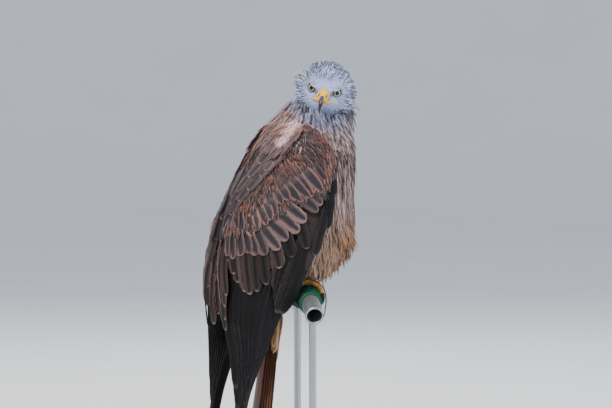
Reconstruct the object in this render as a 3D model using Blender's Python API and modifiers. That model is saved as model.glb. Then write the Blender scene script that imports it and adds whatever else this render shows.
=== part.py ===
"""A life-size red kite on a cut length of its bow perch, held by a plain stand.

Every size below is in millimetres and is turned into metres when a mesh is made.
The bird is measured from the top of the perch between its feet: forward, left and up.
In the finished frame it faces -Y, its left side is +X, and the floor is z = 0.
"""

import math

import bmesh
import bpy
import numpy as np
from mathutils import Matrix, Vector

MM = 0.001
GAP = 0.3

# Stand and perch
BASE_RADIUS = 113.0
BASE_THICKNESS = 14.0
BASE_BEVEL = 2.5
ROD_RADIUS = 5.0
ROD_REACH = 86.0
PERCH_TOP = 296.0
PERCH_FORWARD = 30.0
PERCH_YAW = math.radians(15.0)
BOW_RADIUS = 280.0
TUBE_RADIUS = 12.5
TUBE_WALL = 2.0
TUBE_NEAR, TUBE_FAR = 106.0, -100.0
TURF_RADIUS = 16.5
TURF_NEAR, TURF_FAR = 64.0, -64.0
BOW_SIDES = 12

# Body sections, lowest first: up, back, front, half width, left, turn in degrees
BODY_SECTIONS = [
    (-30, -58, -42, 9, 0, 0),
    (-18, -64, -32, 18, 0, 0),
    (0, -71, -26, 27, 0, 0),
    (18, -78, -23, 36, 0, 0),
    (30, -83, 2, 43, 0, 0),
    (46, -88, 48, 51, 0, 0),
    (66, -91, 68, 57, 0, 0),
    (90, -93, 71, 60, 0, 0),
    (120, -91, 70, 62, 0, 0),
    (150, -84, 70, 62, 0, 0),
    (180, -74, 70, 59, 0, 0),
    (205, -59, 68, 52, 0, 0),
    (225, -44, 67, 37, 2, 8),
    (240, -30, 68, 24, 5, 16),
    (252, -18, 62, 17, 7, 22),
    (259, -4, 50, 11, 7, 22),
]
BODY_SIDES = 24
BODY_STEPS = 13
NECK_START = 205.0
NECK_END = 259.0
NECK_STEPS = 5

# Head, in its own frame: forward, half width, top, bottom
HEAD_CENTRE = (25.6, -13.0, 268.0)
HEAD_YAW = math.radians(-116.0)
HEAD_PITCH = math.radians(14.0)
HEAD_ROLL = math.radians(11.5)
HEAD_JOWL = 0.12
HEAD_SECTIONS = [
    (-43, 9, 6, 10),
    (-38, 22, 16, 24),
    (-28, 33, 26, 35),
    (-15, 40, 31, 41),
    (-2, 42, 34, 43),
    (8, 38, 33, 40),
    (16, 30, 27, 34),
    (23, 22, 19, 26),
    (28, 15, 12, 19),
    (32, 9, 7, 13),
]
HEAD_SIDES = 24
EYE_RADIUS = 7.6
EYE_PLACE = (19.0, 15.2, 3.8)
EYE_TURN = math.radians(38.0)
BILL_BASE = 26.0

# Wing outline, highest first: up, leading edge (forward, out), rear edge (forward, out), and how
# squarely its outer face turns from the side to the back
WING_SECTIONS = [
    (226, (-14, 34), (-34, 26), 0.7),
    (218, (-1, 46), (-50, 22), 0.7),
    (206, (9, 58), (-60, 20), 0.75),
    (190, (14, 68), (-73, 16), 0.8),
    (167, (15, 74), (-87, 12), 0.85),
    (143, (15, 76), (-100, 10), 0.9),
    (115, (12, 77), (-113, 8), 0.95),
    (91, (7, 77), (-122, 8), 0.95),
    (61, (-4, 75), (-129, 8), 0.95),
    (25, (-21, 72), (-132, 8), 0.9),
    (-10, (-38, 68), (-131, 11), 0.8),
    (-37, (-54, 63), (-129, 15), 0.65),
    (-86, (-74, 55), (-123, 26), 0.5),
    (-142, (-95, 47), (-121, 31), 0.4),
    (-190, (-104, 43), (-119, 35), 0.4),
    (-236, (-110, 41), (-117, 37), 0.4),
]
# What the wing on the left differs by: up, leading edge back, rear edge back and out
LEFT_WING = [
    (-236, 12, 12, 3),
    (-142, 8, 8, 6),
    (-60, 4, 7, 9),
    (-10, 0, 11, 9),
    (60, 0, 7, 4),
    (120, 0, 3, 0),
    (226, 0, 0, 0),
]
WING_TOP = 226.0
CORE_HEIGHTS = (226, 219, 207, 188, 160, 126, 90, 56, 24, -6, -40)
CORE_SHARES = (0.0, 0.14, 0.34, 0.56, 0.78, 0.93, 1.0)
VANE_STATIONS = (0.0, 0.36, 0.82, 1.0)
VANE_WIDTHS = (0.50, 1.0, 0.86, 0.26)
PRIMARY_STATIONS = (0.0, 0.22, 0.44, 0.68, 0.90, 1.0)
PRIMARY_WIDTHS = (0.50, 1.0, 1.0, 0.92, 0.66, 0.20)

# Tiers of wing feathers. Each row is a feather along the tier, front to back: its root (up,
# across), its tip (up, across) and half its width. Across is 0 at the leading edge and 1 at the
# rear edge. Heights are over the wing's outer face at the root, the middle and the tip, and over
# says which feather of two neighbours lies on top: 1 is the one behind, -1 the one in front.
WING_TIERS = (
    dict(
        count=4, height=(-11.0, -5.6, -5.0), over=1,
        rows=[
            (92, 0.05, -34, 0.04, 9.0),
            (88, 0.15, -24, 0.12, 10.0),
            (80, 0.30, 16, 0.22, 11.0),
        ],
    ),
    dict(
        count=6, height=(-10.5, -3.6, -2.2), over=1,
        rows=[
            (76, 0.46, -2, 0.33, 9.0),
            (80, 0.60, -19, 0.52, 9.5),
            (88, 0.86, 12, 0.82, 9.0),
        ],
    ),
    dict(
        count=7, height=(-9.0, -3.4, -0.8), over=-1,
        rows=[
            (158, 0.26, 116, 0.05, 10.0),
            (130, 0.38, 84, 0.14, 11.0),
            (106, 0.48, 50, 0.29, 10.5),
            (98, 0.66, 40, 0.56, 10.0),
            (84, 0.84, 26, 0.80, 9.5),
        ],
    ),
    dict(
        count=6, height=(-8.5, -1.8, 0.4), over=-1,
        rows=[
            (176, 0.26, 138, 0.07, 9.0),
            (150, 0.40, 108, 0.22, 10.0),
            (122, 0.58, 74, 0.48, 10.0),
            (106, 0.78, 58, 0.74, 9.0),
        ],
    ),
    dict(
        count=5, height=(-7.0, -2.2, -1.6), over=1,
        rows=[
            (196, 0.56, 156, 0.56, 10.0),
            (172, 0.76, 126, 0.74, 11.0),
            (120, 0.94, 70, 0.90, 10.0),
        ],
    ),
)
PRIMARY_TIPS = (-208, -230, -236, -222, -196, -162, -128)
PRIMARY_ROOT = 46.0
PRIMARY_HALF = 9.0
PRIMARY_SPREAD, PRIMARY_STACK = 0.4, 1.15
VANE_THICKNESS = 0.75
VANE_STEP = 1.1
STEEPEST = 0.17

# Tail: base and fork, measured along the tail from its root
TAIL_ROOT = (-46.0, 16.0)
TAIL_LEAN = math.radians(8.0)
TAIL_OUTER, TAIL_INNER = 293.0, 226.0
TAIL_PAIRS = 6
TAIL_SIDES = 12
TAIL_COVERTS = 5
TAIL_ROOT_STEP, TAIL_TIP_STEP = 1.6, 5.8
TAIL_HALF = 11.5
TAIL_LAYER = 1.15

# Legs, in the perch's own directions: along it to the bird's right, forward, up
FOOT_ALONG = 27.0
TOE_RADIUS = 3.6


def at(forward, left, up):
    """A place on the bird as a place in the finished frame."""
    return Vector((left, -PERCH_FORWARD - forward, PERCH_TOP + up))


def on_perch(along, forward, up):
    """A place by the perch: along it to the bird's right, forward of it, above its top."""
    left = -math.cos(PERCH_YAW) * along - math.sin(PERCH_YAW) * forward
    ahead = -math.sin(PERCH_YAW) * along + math.cos(PERCH_YAW) * forward
    return at(ahead, left, up)


def bow_drop(along):
    """How far the bow's middle line has fallen this far along it."""
    return BOW_RADIUS - math.sqrt(BOW_RADIUS**2 - along**2)


def smooth(x, rows):
    """The values at x of a smooth curve through rows, each an x and one or more values."""
    table = np.array(rows, float)
    if table[0, 0] > table[-1, 0]:
        table = table[::-1]
    xs, ys = table[:, 0], table[:, 1:]
    x = min(max(x, xs[0]), xs[-1])
    slopes = np.gradient(ys, xs, axis=0)
    i = min(int(np.searchsorted(xs, x, side="right")) - 1, len(xs) - 2)
    width = xs[i + 1] - xs[i]
    s = (x - xs[i]) / width
    a = 2 * s**3 - 3 * s**2 + 1
    b = s**3 - 2 * s**2 + s
    c = -2 * s**3 + 3 * s**2
    d = s**3 - s**2
    return a * ys[i] + b * width * slopes[i] + c * ys[i + 1] + d * width * slopes[i + 1]


def ease(s):
    """0 to 1 with a level start and end."""
    s = min(max(s, 0.0), 1.0)
    return s * s * (3 - 2 * s)


# Materials

def material(name, colour, roughness, metallic=0.0):
    made = bpy.data.materials.new(name)
    made.use_nodes = True
    shader = made.node_tree.nodes["Principled BSDF"]
    shader.inputs["Base Color"].default_value = (*colour, 1.0)
    shader.inputs["Roughness"].default_value = roughness
    shader.inputs["Metallic"].default_value = metallic
    return made


# Meshes

def link(name, mesh, finish, collection):
    made = bpy.data.objects.new(name, mesh)
    collection.objects.link(made)
    if finish:
        mesh.materials.append(finish)
    return made


def closed_mesh(name, points, faces, finish, collection):
    """An object from points in millimetres, with its faces turned outwards."""
    mesh = bpy.data.meshes.new(name)
    shape = bmesh.new()
    corners = [shape.verts.new(Vector(p) * MM) for p in points]
    for face in faces:
        shape.faces.new([corners[i] for i in face])
    bmesh.ops.recalc_face_normals(shape, faces=shape.faces)
    shape.to_mesh(mesh)
    shape.free()
    return link(name, mesh, finish, collection)


def loft(name, rings, finish, collection, tube=False, flat_ends=False):
    """A closed solid through rings of points; a tube's last ring joins its first.

    Flat ends are closed straight across a thin ring, others by a fan from the middle.
    """
    count = len(rings[0])
    points = [p for ring in rings for p in ring]
    faces = []
    for k in range(len(rings) if tube else len(rings) - 1):
        low, high = k * count, (k + 1) % len(rings) * count
        for i in range(count):
            j = (i + 1) % count
            faces += [(low + i, low + j, high + j), (low + i, high + j, high + i)]
    for ring, low in ((rings[0], 0), (rings[-1], (len(rings) - 1) * count)):
        if tube:
            break
        if flat_ends:
            for i in range(count // 2 - 1):
                a, b, c, d = i, i + 1, count - 2 - i, count - 1 - i
                faces += [(low + a, low + b, low + c), (low + a, low + c, low + d)]
            continue
        points.append(sum((Vector(p) for p in ring), Vector()) / count)
        middle = len(points) - 1
        faces += [(low + i, low + (i + 1) % count, middle) for i in range(count)]
    return closed_mesh(name, points, faces, finish, collection)


def tapered_tube(name, path, radii, sides, finish, collection, flat=1.0):
    """A limb along a path of points, round or flattened, closed at both ends."""
    path = [Vector(p) for p in path]
    side = Vector((1, 0, 0))
    rings = []
    for k, place in enumerate(path):
        ahead = (path[min(k + 1, len(path) - 1)] - path[max(k - 1, 0)]).normalized()
        up = ahead.cross(side).normalized()
        side = up.cross(ahead).normalized()
        turn = [2 * math.pi * i / sides for i in range(sides)]
        rings.append(
            [
                place + radii[k] * (math.cos(a) * side + flat * math.sin(a) * up)
                for a in turn
            ]
        )
    return loft(name, rings, finish, collection)


def ball(name, centre, radii, finish, collection, segments=14, rings=8, turn=None):
    """An ellipsoid with its own turn."""
    mesh = bpy.data.meshes.new(name)
    shape = bmesh.new()
    bmesh.ops.create_uvsphere(shape, u_segments=segments, v_segments=rings, radius=1.0)
    place = Matrix.Translation(Vector(centre) * MM) @ (turn or Matrix()).to_4x4()
    shape.transform(place @ Matrix.Diagonal((*(r * MM for r in radii), 1.0)))
    shape.to_mesh(mesh)
    shape.free()
    return link(name, mesh, finish, collection)


def cylinder(name, centre, radius, height, sides, finish, collection):
    mesh = bpy.data.meshes.new(name)
    shape = bmesh.new()
    bmesh.ops.create_cone(
        shape, cap_ends=True, segments=sides,
        radius1=radius * MM, radius2=radius * MM, depth=height * MM,
    )
    shape.transform(Matrix.Translation(Vector(centre) * MM))
    shape.to_mesh(mesh)
    shape.free()
    return link(name, mesh, finish, collection)


def vane(centres, normals, halves, slopes, collection):
    """One feather: a thin closed blade along its centres, tilted over its neighbour."""
    points = []
    for k, (centre, normal) in enumerate(zip(centres, normals)):
        ahead = centres[min(k + 1, len(centres) - 1)] - centres[max(k - 1, 0)]
        side = normal.cross(ahead).normalized()
        face = ahead.cross(side).normalized()
        side = (side + face * slopes[k]).normalized() * halves[k]
        thick = face * VANE_THICKNESS / 2
        points += [
            centre - side + thick, centre + side + thick,
            centre + side - thick, centre - side - thick,
        ]
    faces = [(0, 1, 2), (0, 2, 3)]
    for k in range(len(centres) - 1):
        a, b = 4 * k, 4 * k + 4
        faces += [(a, a + 1, b + 1), (a, b + 1, b)]
        faces += [(a + 3, a + 2, b + 2), (a + 3, b + 2, b + 3)]
        faces += [(a + 1, a + 2, b + 2), (a + 1, b + 2, b + 1)]
        faces += [(a, a + 3, b + 3), (a, b + 3, b)]
    end = 4 * len(centres) - 4
    faces += [(end, end + 1, end + 2), (end, end + 2, end + 3)]
    return closed_mesh("vane", points, faces, None, collection)


def shingle_slopes(lines, halves, over, side):
    """How steeply each feather of a tier tilts at each station to clear its neighbours."""
    slopes = []
    for k, line in enumerate(lines):
        row = []
        for j in range(len(line)):
            steps = []
            for a, b in ((k - 1, k), (k, k + 1)):
                if a < 0 or b >= len(lines):
                    continue
                first, second = lines[a][j], lines[b][j]
                pitch = max((second[0] - first[0]).length, 1.0)
                shared = max(halves[a][j] + halves[b][j] - pitch, 0.0)
                bent = shared * first[1].angle(second[1]) / 2
                risen = over * (second[2] - first[2])
                steps.append(max(0.0, VANE_STEP + bent - risen) / pitch)
            row.append(over * side * min(sum(steps) / len(steps), STEEPEST))
        slopes.append(row)
    return slopes


# Joining and cutting

def evaluated_mesh(made):
    graph = bpy.context.evaluated_depsgraph_get()
    return bpy.data.meshes.new_from_object(made.evaluated_get(graph))


def largest_surface(mesh):
    """Keeps the biggest closed surface of a mesh and drops the rest."""
    shape = bmesh.new()
    shape.from_mesh(mesh)
    bmesh.ops.triangulate(shape, faces=shape.faces)
    left = set(shape.faces)
    surfaces = []
    while left:
        reached, edge = set(), [left.pop()]
        while edge:
            face = edge.pop()
            reached.add(face)
            for near in (f for e in face.edges for f in e.link_faces if f in left):
                left.discard(near)
                edge.append(near)
        surfaces.append(reached)
    size = {
        id(s): sum(f.verts[0].co.dot(f.verts[1].co.cross(f.verts[2].co)) for f in s)
        for s in surfaces
    }
    surfaces.sort(key=lambda s: size[id(s)])
    loose = [f for s in surfaces[:-1] for f in s]
    bmesh.ops.delete(shape, geom=loose, context="FACES")
    shape.to_mesh(mesh)
    shape.free()


def boolean(base, operation, others, solver="EXACT"):
    """Joins or cuts base with other objects, applies it and removes them."""
    held = bpy.data.collections.new("held")
    bpy.context.scene.collection.children.link(held)
    for other in others:
        for owner in list(other.users_collection):
            owner.objects.unlink(other)
        held.objects.link(other)
    modifier = base.modifiers.new(operation, "BOOLEAN")
    modifier.operation = operation
    modifier.solver = solver
    modifier.operand_type = "COLLECTION"
    modifier.collection = held
    finish = list(base.data.materials)
    mesh = evaluated_mesh(base)
    base.modifiers.remove(modifier)
    base.data = mesh
    mesh.materials.clear()
    for made in finish:
        mesh.materials.append(made)
    for polygon in mesh.polygons:
        polygon.material_index = 0
    for other in others:
        bpy.data.objects.remove(other)
    bpy.data.collections.remove(held)
    largest_surface(mesh)
    return base


# Body

def body_ring(up, grow=0.0):
    back, front, half, left, turn = smooth(up, BODY_SECTIONS)
    centre, depth = (back + front) / 2, (front - back) / 2
    turn = math.radians(turn)
    ring = []
    for i in range(BODY_SIDES):
        angle = 2 * math.pi * i / BODY_SIDES
        ahead = (depth + grow) * math.cos(angle)
        out = (half + grow) * math.sin(angle)
        ring.append(
            at(
                centre + ahead * math.cos(turn) + out * math.sin(turn),
                left + out * math.cos(turn) - ahead * math.sin(turn),
                up,
            )
        )
    return ring


def torso_heights():
    return list(np.linspace(BODY_SECTIONS[0][0], NECK_START, BODY_STEPS))


def neck_heights():
    return list(np.linspace(NECK_START + GAP, NECK_END, NECK_STEPS))


def body_length(name, heights, finish, collection, grow=0.0):
    """The part of the body through these heights."""
    return loft(name, [body_ring(h, grow) for h in heights], finish, collection)


def body_cutter(collection):
    """The torso and neck, grown by the gap that everything on them keeps."""
    heights = torso_heights() + neck_heights()
    heights[0] -= GAP
    return body_length("body_cutter", heights, None, collection, GAP)


# Head

def head_matrix():
    turn = Matrix.Rotation(HEAD_YAW, 4, "Z")
    nod = Matrix.Rotation(HEAD_PITCH, 4, "X")
    tilt = Matrix.Rotation(HEAD_ROLL, 4, "Y")
    return Matrix.Translation(at(*HEAD_CENTRE)) @ turn @ tilt @ nod


def on_head(forward, left, up):
    return head_matrix() @ Vector((left, -forward, up))


def head_solid(name, finish, collection, grow=0.0):
    rings = []
    for forward, half, top, bottom in HEAD_SECTIONS:
        ring = []
        for i in range(HEAD_SIDES):
            angle = 2 * math.pi * i / HEAD_SIDES
            rise = math.sin(angle)
            tall = top if rise > 0 else bottom
            wide = half * (1 - HEAD_JOWL * rise) + grow
            ring.append(
                on_head(forward, wide * math.cos(angle), (tall + grow) * rise)
            )
        rings.append(ring)
    return loft(name, rings, finish, collection)


def eye_turn(side):
    """The turn that points an eye's own +Z along its sight line."""
    look = Matrix.Rotation(-math.pi / 2, 4, "X")
    out = Matrix.Rotation(-side * EYE_TURN, 4, "Z")
    frame = head_matrix().to_3x3().to_4x4()
    return frame @ out.inverted() @ look.inverted()


def eyeball(name, side, grow, finish, collection):
    forward, out, up = EYE_PLACE
    radius = EYE_RADIUS + grow
    return ball(
        name, on_head(forward, side * out, up), (radius,) * 3, finish, collection,
        turn=eye_turn(side),
    )


def lid_ring(side, collection):
    """The rim of skin round an eye, and the brow that shades it."""
    forward, out, up = EYE_PLACE
    look = Vector((math.sin(EYE_TURN) * side, -math.cos(EYE_TURN), 0))
    across = Vector((look.y, -look.x, 0))
    middle = Vector((side * out, -forward, up)) + look * (EYE_RADIUS * 0.62)
    rings = []
    for i in range(12):
        angle = 2 * math.pi * i / 12
        outward = math.cos(angle) * across + math.sin(angle) * Vector((0, 0, 0.9))
        ring = []
        for j in range(4):
            turn = 2 * math.pi * j / 4
            place = middle + outward * (EYE_RADIUS * 0.86 + 1.1 * math.cos(turn))
            ring.append(head_matrix() @ (place + look * 1.5 * math.sin(turn)))
        rings.append(ring)
    rim = loft("rim", rings, None, collection, tube=True)
    brow_path = [
        on_head(forward + 10, side * (out - 4), up + 5.5),
        on_head(forward + 6, side * (out + 1), up + 7.6),
        on_head(forward + 0, side * (out + 7), up + 8.2),
        on_head(forward - 8, side * (out + 13), up + 6.4),
    ]
    brow = tapered_tube("brow", brow_path, (1.6, 2.6, 2.8, 1.6), 6, None, collection)
    return [rim, brow]


# Bill and cere, along the head's own axis: forward, half width, top, bottom
CERE_SECTIONS = [
    (BILL_BASE - 3, 8.2, 8.2, -9.0),
    (BILL_BASE + 2, 8.2, 8.6, -9.8),
    (BILL_BASE + 7, 7.3, 7.0, -10.2),
    (BILL_BASE + 12, 6.2, 4.2, -9.4),
    (BILL_BASE + 15.5, 5.2, 1.6, -7.8),
]
UPPER_SECTIONS = [
    (BILL_BASE + 7, 5.2, 4.0, -7.4),
    (BILL_BASE + 12, 5.2, 2.6, -8.4),
    (BILL_BASE + 16.5, 4.9, 0.4, -9.4),
    (BILL_BASE + 20.5, 4.2, -2.8, -10.8),
    (BILL_BASE + 23.8, 3.3, -7.0, -12.6),
    (BILL_BASE + 25.6, 2.4, -11.6, -15.2),
    (BILL_BASE + 26.0, 1.5, -15.8, -18.0),
    (BILL_BASE + 25.4, 0.8, -18.8, -20.2),
    (BILL_BASE + 24.8, 0.35, -20.8, -21.6),
]
LOWER_SECTIONS = [
    (BILL_BASE - 6, 5.2, -9.6, -13.4),
    (BILL_BASE + 8, 4.7, -10.0, -13.8),
    (BILL_BASE + 14, 4.0, -9.8, -13.4),
    (BILL_BASE + 19, 2.9, -10.8, -13.2),
    (BILL_BASE + 22, 1.4, -11.9, -13.0),
]
NOSTRIL_PLACE = (BILL_BASE + 10.5, 6.4, -2.2)
NOSTRIL_RADII = (1.7, 2.6, 1.4)


def bill_solid(name, sections, finish, collection, grow=0.0, sides=12):
    """A bill sheath: each section is forward, half width, top and bottom, and leans with the hook."""
    rings = []
    for k, (forward, half, top, bottom) in enumerate(sections):
        before, after = sections[max(k - 1, 0)], sections[min(k + 1, len(sections) - 1)]
        run = after[0] - before[0]
        fall = (after[2] + after[3] - before[2] - before[3]) / 2
        lean = math.atan2(fall, run)
        middle, tall = (top + bottom) / 2, (top - bottom) / 2 + grow
        if k == 0:
            forward -= grow
        if k == len(sections) - 1:
            forward += grow
        ring = []
        for i in range(sides):
            angle = 2 * math.pi * i / sides
            rise = tall * math.sin(angle)
            ring.append(
                on_head(
                    forward - rise * math.sin(lean),
                    (half + grow) * math.cos(angle),
                    middle + rise * math.cos(lean),
                )
            )
        rings.append(ring)
    return loft(name, rings, finish, collection)


def gape(side, grow, collection):
    """The yellow corner of the mouth, running back under the eye."""
    path = [
        on_head(BILL_BASE + 8, side * 5.4, -8.2),
        on_head(BILL_BASE + 3.0, side * 9.4, -9.0),
        on_head(BILL_BASE + 0.2, side * 13.2, -9.6),
        on_head(BILL_BASE - 3.6, side * 17.0, -9.8),
    ]
    radii = [r + grow for r in (1.7, 1.6, 1.5, 0.9)]
    return tapered_tube("gape", path, radii, 6, None, collection, flat=0.8)


def cere_solid(name, finish, collection, grow=0.0):
    cere = bill_solid(name, CERE_SECTIONS, finish, collection, grow, sides=12)
    return boolean(cere, "UNION", [gape(side, grow, collection) for side in (-1, 1)])


def build_head(finishes, parts, cutters):
    head = head_solid("head", finishes["head"], parts)
    boolean(head, "UNION", [p for side in (-1, 1) for p in lid_ring(side, cutters)])
    cuts = [eyeball("cut", side, GAP, None, cutters) for side in (-1, 1)]
    cuts.append(cere_solid("cut_cere", None, cutters, GAP))
    cuts.append(bill_solid("cut_lower", LOWER_SECTIONS, None, cutters, GAP))
    for cut in cuts:
        boolean(head, "DIFFERENCE", [cut])
    for side, word in ((-1, "right"), (1, "left")):
        eyeball(f"eye_{word}", side, 0.0, finishes["eye"], parts)
    bill_solid("bill_upper", UPPER_SECTIONS, finishes["bill"], parts)
    lower = bill_solid("bill_lower", LOWER_SECTIONS, finishes["bill"], parts)
    cere = cere_solid("cere", finishes["cere"], parts)
    nostrils = [
        ball(
            "nostril", on_head(NOSTRIL_PLACE[0], side * NOSTRIL_PLACE[1], NOSTRIL_PLACE[2]),
            NOSTRIL_RADII, None, cutters, segments=8, rings=6,
            turn=head_matrix().to_3x3(),
        )
        for side in (-1, 1)
    ]
    upper_cut = bill_solid("cut_upper", UPPER_SECTIONS, None, cutters, GAP)
    for cut in (upper_cut, *nostrils):
        boolean(cere, "DIFFERENCE", [cut])
    cere_cut = cere_solid("cut_cere", None, cutters, GAP)
    boolean(lower, "DIFFERENCE", [cere_cut])
    upper_cut = bill_solid("cut_upper", UPPER_SECTIONS, None, cutters, GAP)
    boolean(lower, "DIFFERENCE", [upper_cut])
    return head


# Wings

def wing_edges(up, side):
    rows = [(u, *lead, *rear, square) for u, lead, rear, square in WING_SECTIONS]
    values = smooth(up, rows)
    lead, rear = np.array(values[0:2]), np.array(values[2:4])
    if side > 0:
        lead_back, rear_back, rear_out = smooth(up, LEFT_WING)
        lead += (-lead_back, 0)
        rear += (-rear_back, rear_out)
    return lead, rear, values[4]


def wing_flat(up, across, side):
    """Forward and outward place on the folded wing's outer face."""
    lead, rear, square = wing_edges(up, side)
    middle = (lead + rear) / 2
    control = middle + square * (np.array([rear[0], lead[1]]) - middle)
    a, b, c = (1 - across) ** 2, 2 * across * (1 - across), across**2
    return a * lead + b * control + c * rear


def wing_place(up, across, height, side):
    """A point over the wing's outer face and the face's outward direction."""
    def point(u, s):
        forward, out = wing_flat(u, s, side)
        return at(forward, side * out, u)

    step = 0.02
    along = point(up - 4, across) - point(up + 4, across)
    over = point(up, min(across + step, 1.0)) - point(up, max(across - step, 0.0))
    normal = along.cross(over).normalized()
    outward = Vector((side, 0.6, 0))
    if normal.dot(outward) < 0:
        normal = -normal
    return point(up, across) + normal * height, normal


def wing_sink(up, across):
    """How far the core lies under the wing's outer face, to leave room for the feathers."""
    edge = 0.35 + 0.65 * ease(across / 0.12)
    back = 1 - 0.5 * ease((across - 0.55) / 0.3) * ease((up - 60) / 40)
    upper = (2.0 + 4.5 * ease((216 - up) / 40)) * edge * back
    return upper + (13.0 - upper) * ease((36 - up) / 46)


def wing_depth(up, across):
    """The core's thickness: slight below, and deep enough above to meet the body."""
    deep = 3.0 + 26.0 * ease((up + 14) / 74) * (0.35 + 0.65 * math.sin(math.pi * across))
    return deep * ease((WING_TOP + 12 - up) / 30)


def wing_core(name, side, finish, collection):
    """The flesh and small feathers of the folded wing, in which the large ones root."""
    rings = []
    for up in CORE_HEIGHTS:
        outside, inside = [], []
        for across in CORE_SHARES:
            sink = wing_sink(up, across)
            deep = sink + wing_depth(up, across)
            outside.append(wing_place(up, across, -sink, side)[0])
            inside.append(wing_place(up, across, -deep, side)[0])
        rings.append(outside + inside[::-1])
    return loft(name, rings, finish, collection, flat_ends=True)


def tier_lines(tier, side):
    """The centre line of each feather in a tier: place, normal and height at each station."""
    rows = [(k / (len(tier["rows"]) - 1), *row) for k, row in enumerate(tier["rows"])]
    lines, halves = [], []
    for k in range(tier["count"]):
        root_up, root_across, tip_up, tip_across, half = smooth(
            k / (tier["count"] - 1), rows
        )
        line = []
        for s in VANE_STATIONS:
            up = root_up + (tip_up - root_up) * s
            across = root_across + (tip_across - root_across) * s
            low, middle, high = tier["height"]
            height = low + (middle - low) * ease(s / 0.36) + (high - middle) * s
            place, normal = wing_place(up, across, height, side)
            line.append((place, normal, height))
        lines.append(line)
        halves.append([half * w for w in VANE_WIDTHS])
    return lines, halves


def primary_lines(side):
    """The long flight feathers, fanned at the wrist and stacked towards their tips."""
    lines, halves = [], []
    last = len(PRIMARY_TIPS) - 1
    for k, tip in enumerate(PRIMARY_TIPS):
        line = []
        for s in PRIMARY_STATIONS:
            up = PRIMARY_ROOT + (tip - PRIMARY_ROOT) * s
            lead, rear, _ = wing_edges(up, side)
            chord = float(np.linalg.norm(rear - lead))
            room = max(chord - 2 * PRIMARY_HALF, 0.0)
            across = min(PRIMARY_HALF, chord / 2) / chord + k / last * room / chord
            stacked = ease((-10 - up) / 70)
            spread = PRIMARY_SPREAD * k - 10.0
            stack = PRIMARY_STACK * (k - last) - 0.6
            height = spread + (stack - spread) * stacked - 4.0 * ease((40 - up) / -30)
            place, normal = wing_place(up, across, height, side)
            line.append((place, normal, height))
        lines.append(line)
        halves.append([PRIMARY_HALF * w for w in PRIMARY_WIDTHS])
    return lines, halves


def build_wing(name, side, finish, parts, cutters):
    wing = wing_core(name, side, finish, parts)
    feathers = []
    tiers = [(*tier_lines(tier, side), tier["over"]) for tier in WING_TIERS]
    for lines, halves, over in [(*primary_lines(side), 1), *tiers]:
        slopes = shingle_slopes(lines, halves, over, side)
        for line, half, slope in zip(lines, halves, slopes):
            places, normals, _ = zip(*line)
            feathers.append(vane(places, normals, half, slope, cutters))
    boolean(wing, "UNION", feathers)
    boolean(wing, "DIFFERENCE", [body_cutter(cutters)])
    boolean(wing, "DIFFERENCE", [other_side(side, cutters)])
    return wing


def other_side(side, collection):
    """All the room on the far side of the bird's middle plane."""
    mesh = bpy.data.meshes.new("other_side")
    shape = bmesh.new()
    bmesh.ops.create_cube(shape, size=600 * MM)
    place = Vector((side * (GAP / 2 - 300), 0, PERCH_TOP)) * MM
    shape.transform(Matrix.Translation(place))
    shape.to_mesh(mesh)
    shape.free()
    return link("other_side", mesh, None, collection)


# Tail

def tail_place(along, left, toward_back):
    """A point of the tail: down it from its root, to the left, and towards its upper face."""
    forward = TAIL_ROOT[0] - along * math.sin(TAIL_LEAN) - toward_back * math.cos(TAIL_LEAN)
    up = TAIL_ROOT[1] - along * math.cos(TAIL_LEAN) + toward_back * math.sin(TAIL_LEAN)
    return at(forward, left, up)


def tail_core(finish, collection):
    """The fleshy root of the tail with its coverts' bulk."""
    rows = [
        (20, 24, 15, -13),
        (42, 25, 12, -15),
        (68, 22, 7, -14),
        (94, 15, 2, -11),
        (114, 5, -3, -8),
    ]
    rings = []
    for along, half, back, front in rows:
        middle, deep = (back + front) / 2, (back - front) / 2
        rings.append(
            [
                tail_place(
                    along,
                    half * math.cos(2 * math.pi * i / TAIL_SIDES),
                    middle + deep * math.sin(2 * math.pi * i / TAIL_SIDES),
                )
                for i in range(TAIL_SIDES)
            ]
        )
    return loft("tail", rings, finish, collection)


def tail_vane(start, end, left, layers, half, collection, tilt=0.0):
    """A tail feather or covert, from one place along the tail to another."""
    upper = (tail_place(0, 0, 1) - tail_place(0, 0, 0)).normalized()
    centres = []
    for s in VANE_STATIONS:
        sideways = left[0] + (left[1] - left[0]) * s
        layer = layers[0] + (layers[1] - layers[0]) * ease(s / 0.4)
        centres.append(tail_place(start + (end - start) * s, sideways, layer))
    normals = [upper] * len(centres)
    halves = [half * w for w in VANE_WIDTHS]
    return vane(centres, normals, halves, [tilt] * len(centres), collection)


def build_tail(finish, parts, cutters):
    tail = tail_core(finish, parts)
    feathers = []
    for pair in range(TAIL_PAIRS):
        end = TAIL_INNER + (TAIL_OUTER - TAIL_INNER) * (pair / (TAIL_PAIRS - 1)) ** 1.4
        for side in (-1, 1):
            layer = TAIL_LAYER * (1.4 - 2 * pair - (side > 0))
            left = (
                side * (pair + 0.6) * TAIL_ROOT_STEP,
                side * (pair + 0.6) * TAIL_TIP_STEP,
            )
            feathers.append(
                tail_vane(64, end, left, (layer, layer), TAIL_HALF, cutters)
            )
    for k in range(TAIL_COVERTS):
        aside = k - TAIL_COVERTS // 2
        sideways = 8.0 * aside
        reach = 150 - 9 * abs(aside)
        over = 1.0 - 1.4 * abs(aside)
        tilt = 0.12 * ((aside > 0) - (aside < 0))
        left = (0.8 * sideways, sideways)
        feathers.append(
            tail_vane(50, reach - 30, left, (2.0, 6.4 + over), 7.0, cutters, -tilt)
        )
        feathers.append(
            tail_vane(56, reach, left, (-9.0, -14.6 - over), 7.5, cutters, tilt)
        )
    boolean(tail, "UNION", feathers)
    boolean(tail, "DIFFERENCE", [body_cutter(cutters)])
    return tail


# Legs

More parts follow.
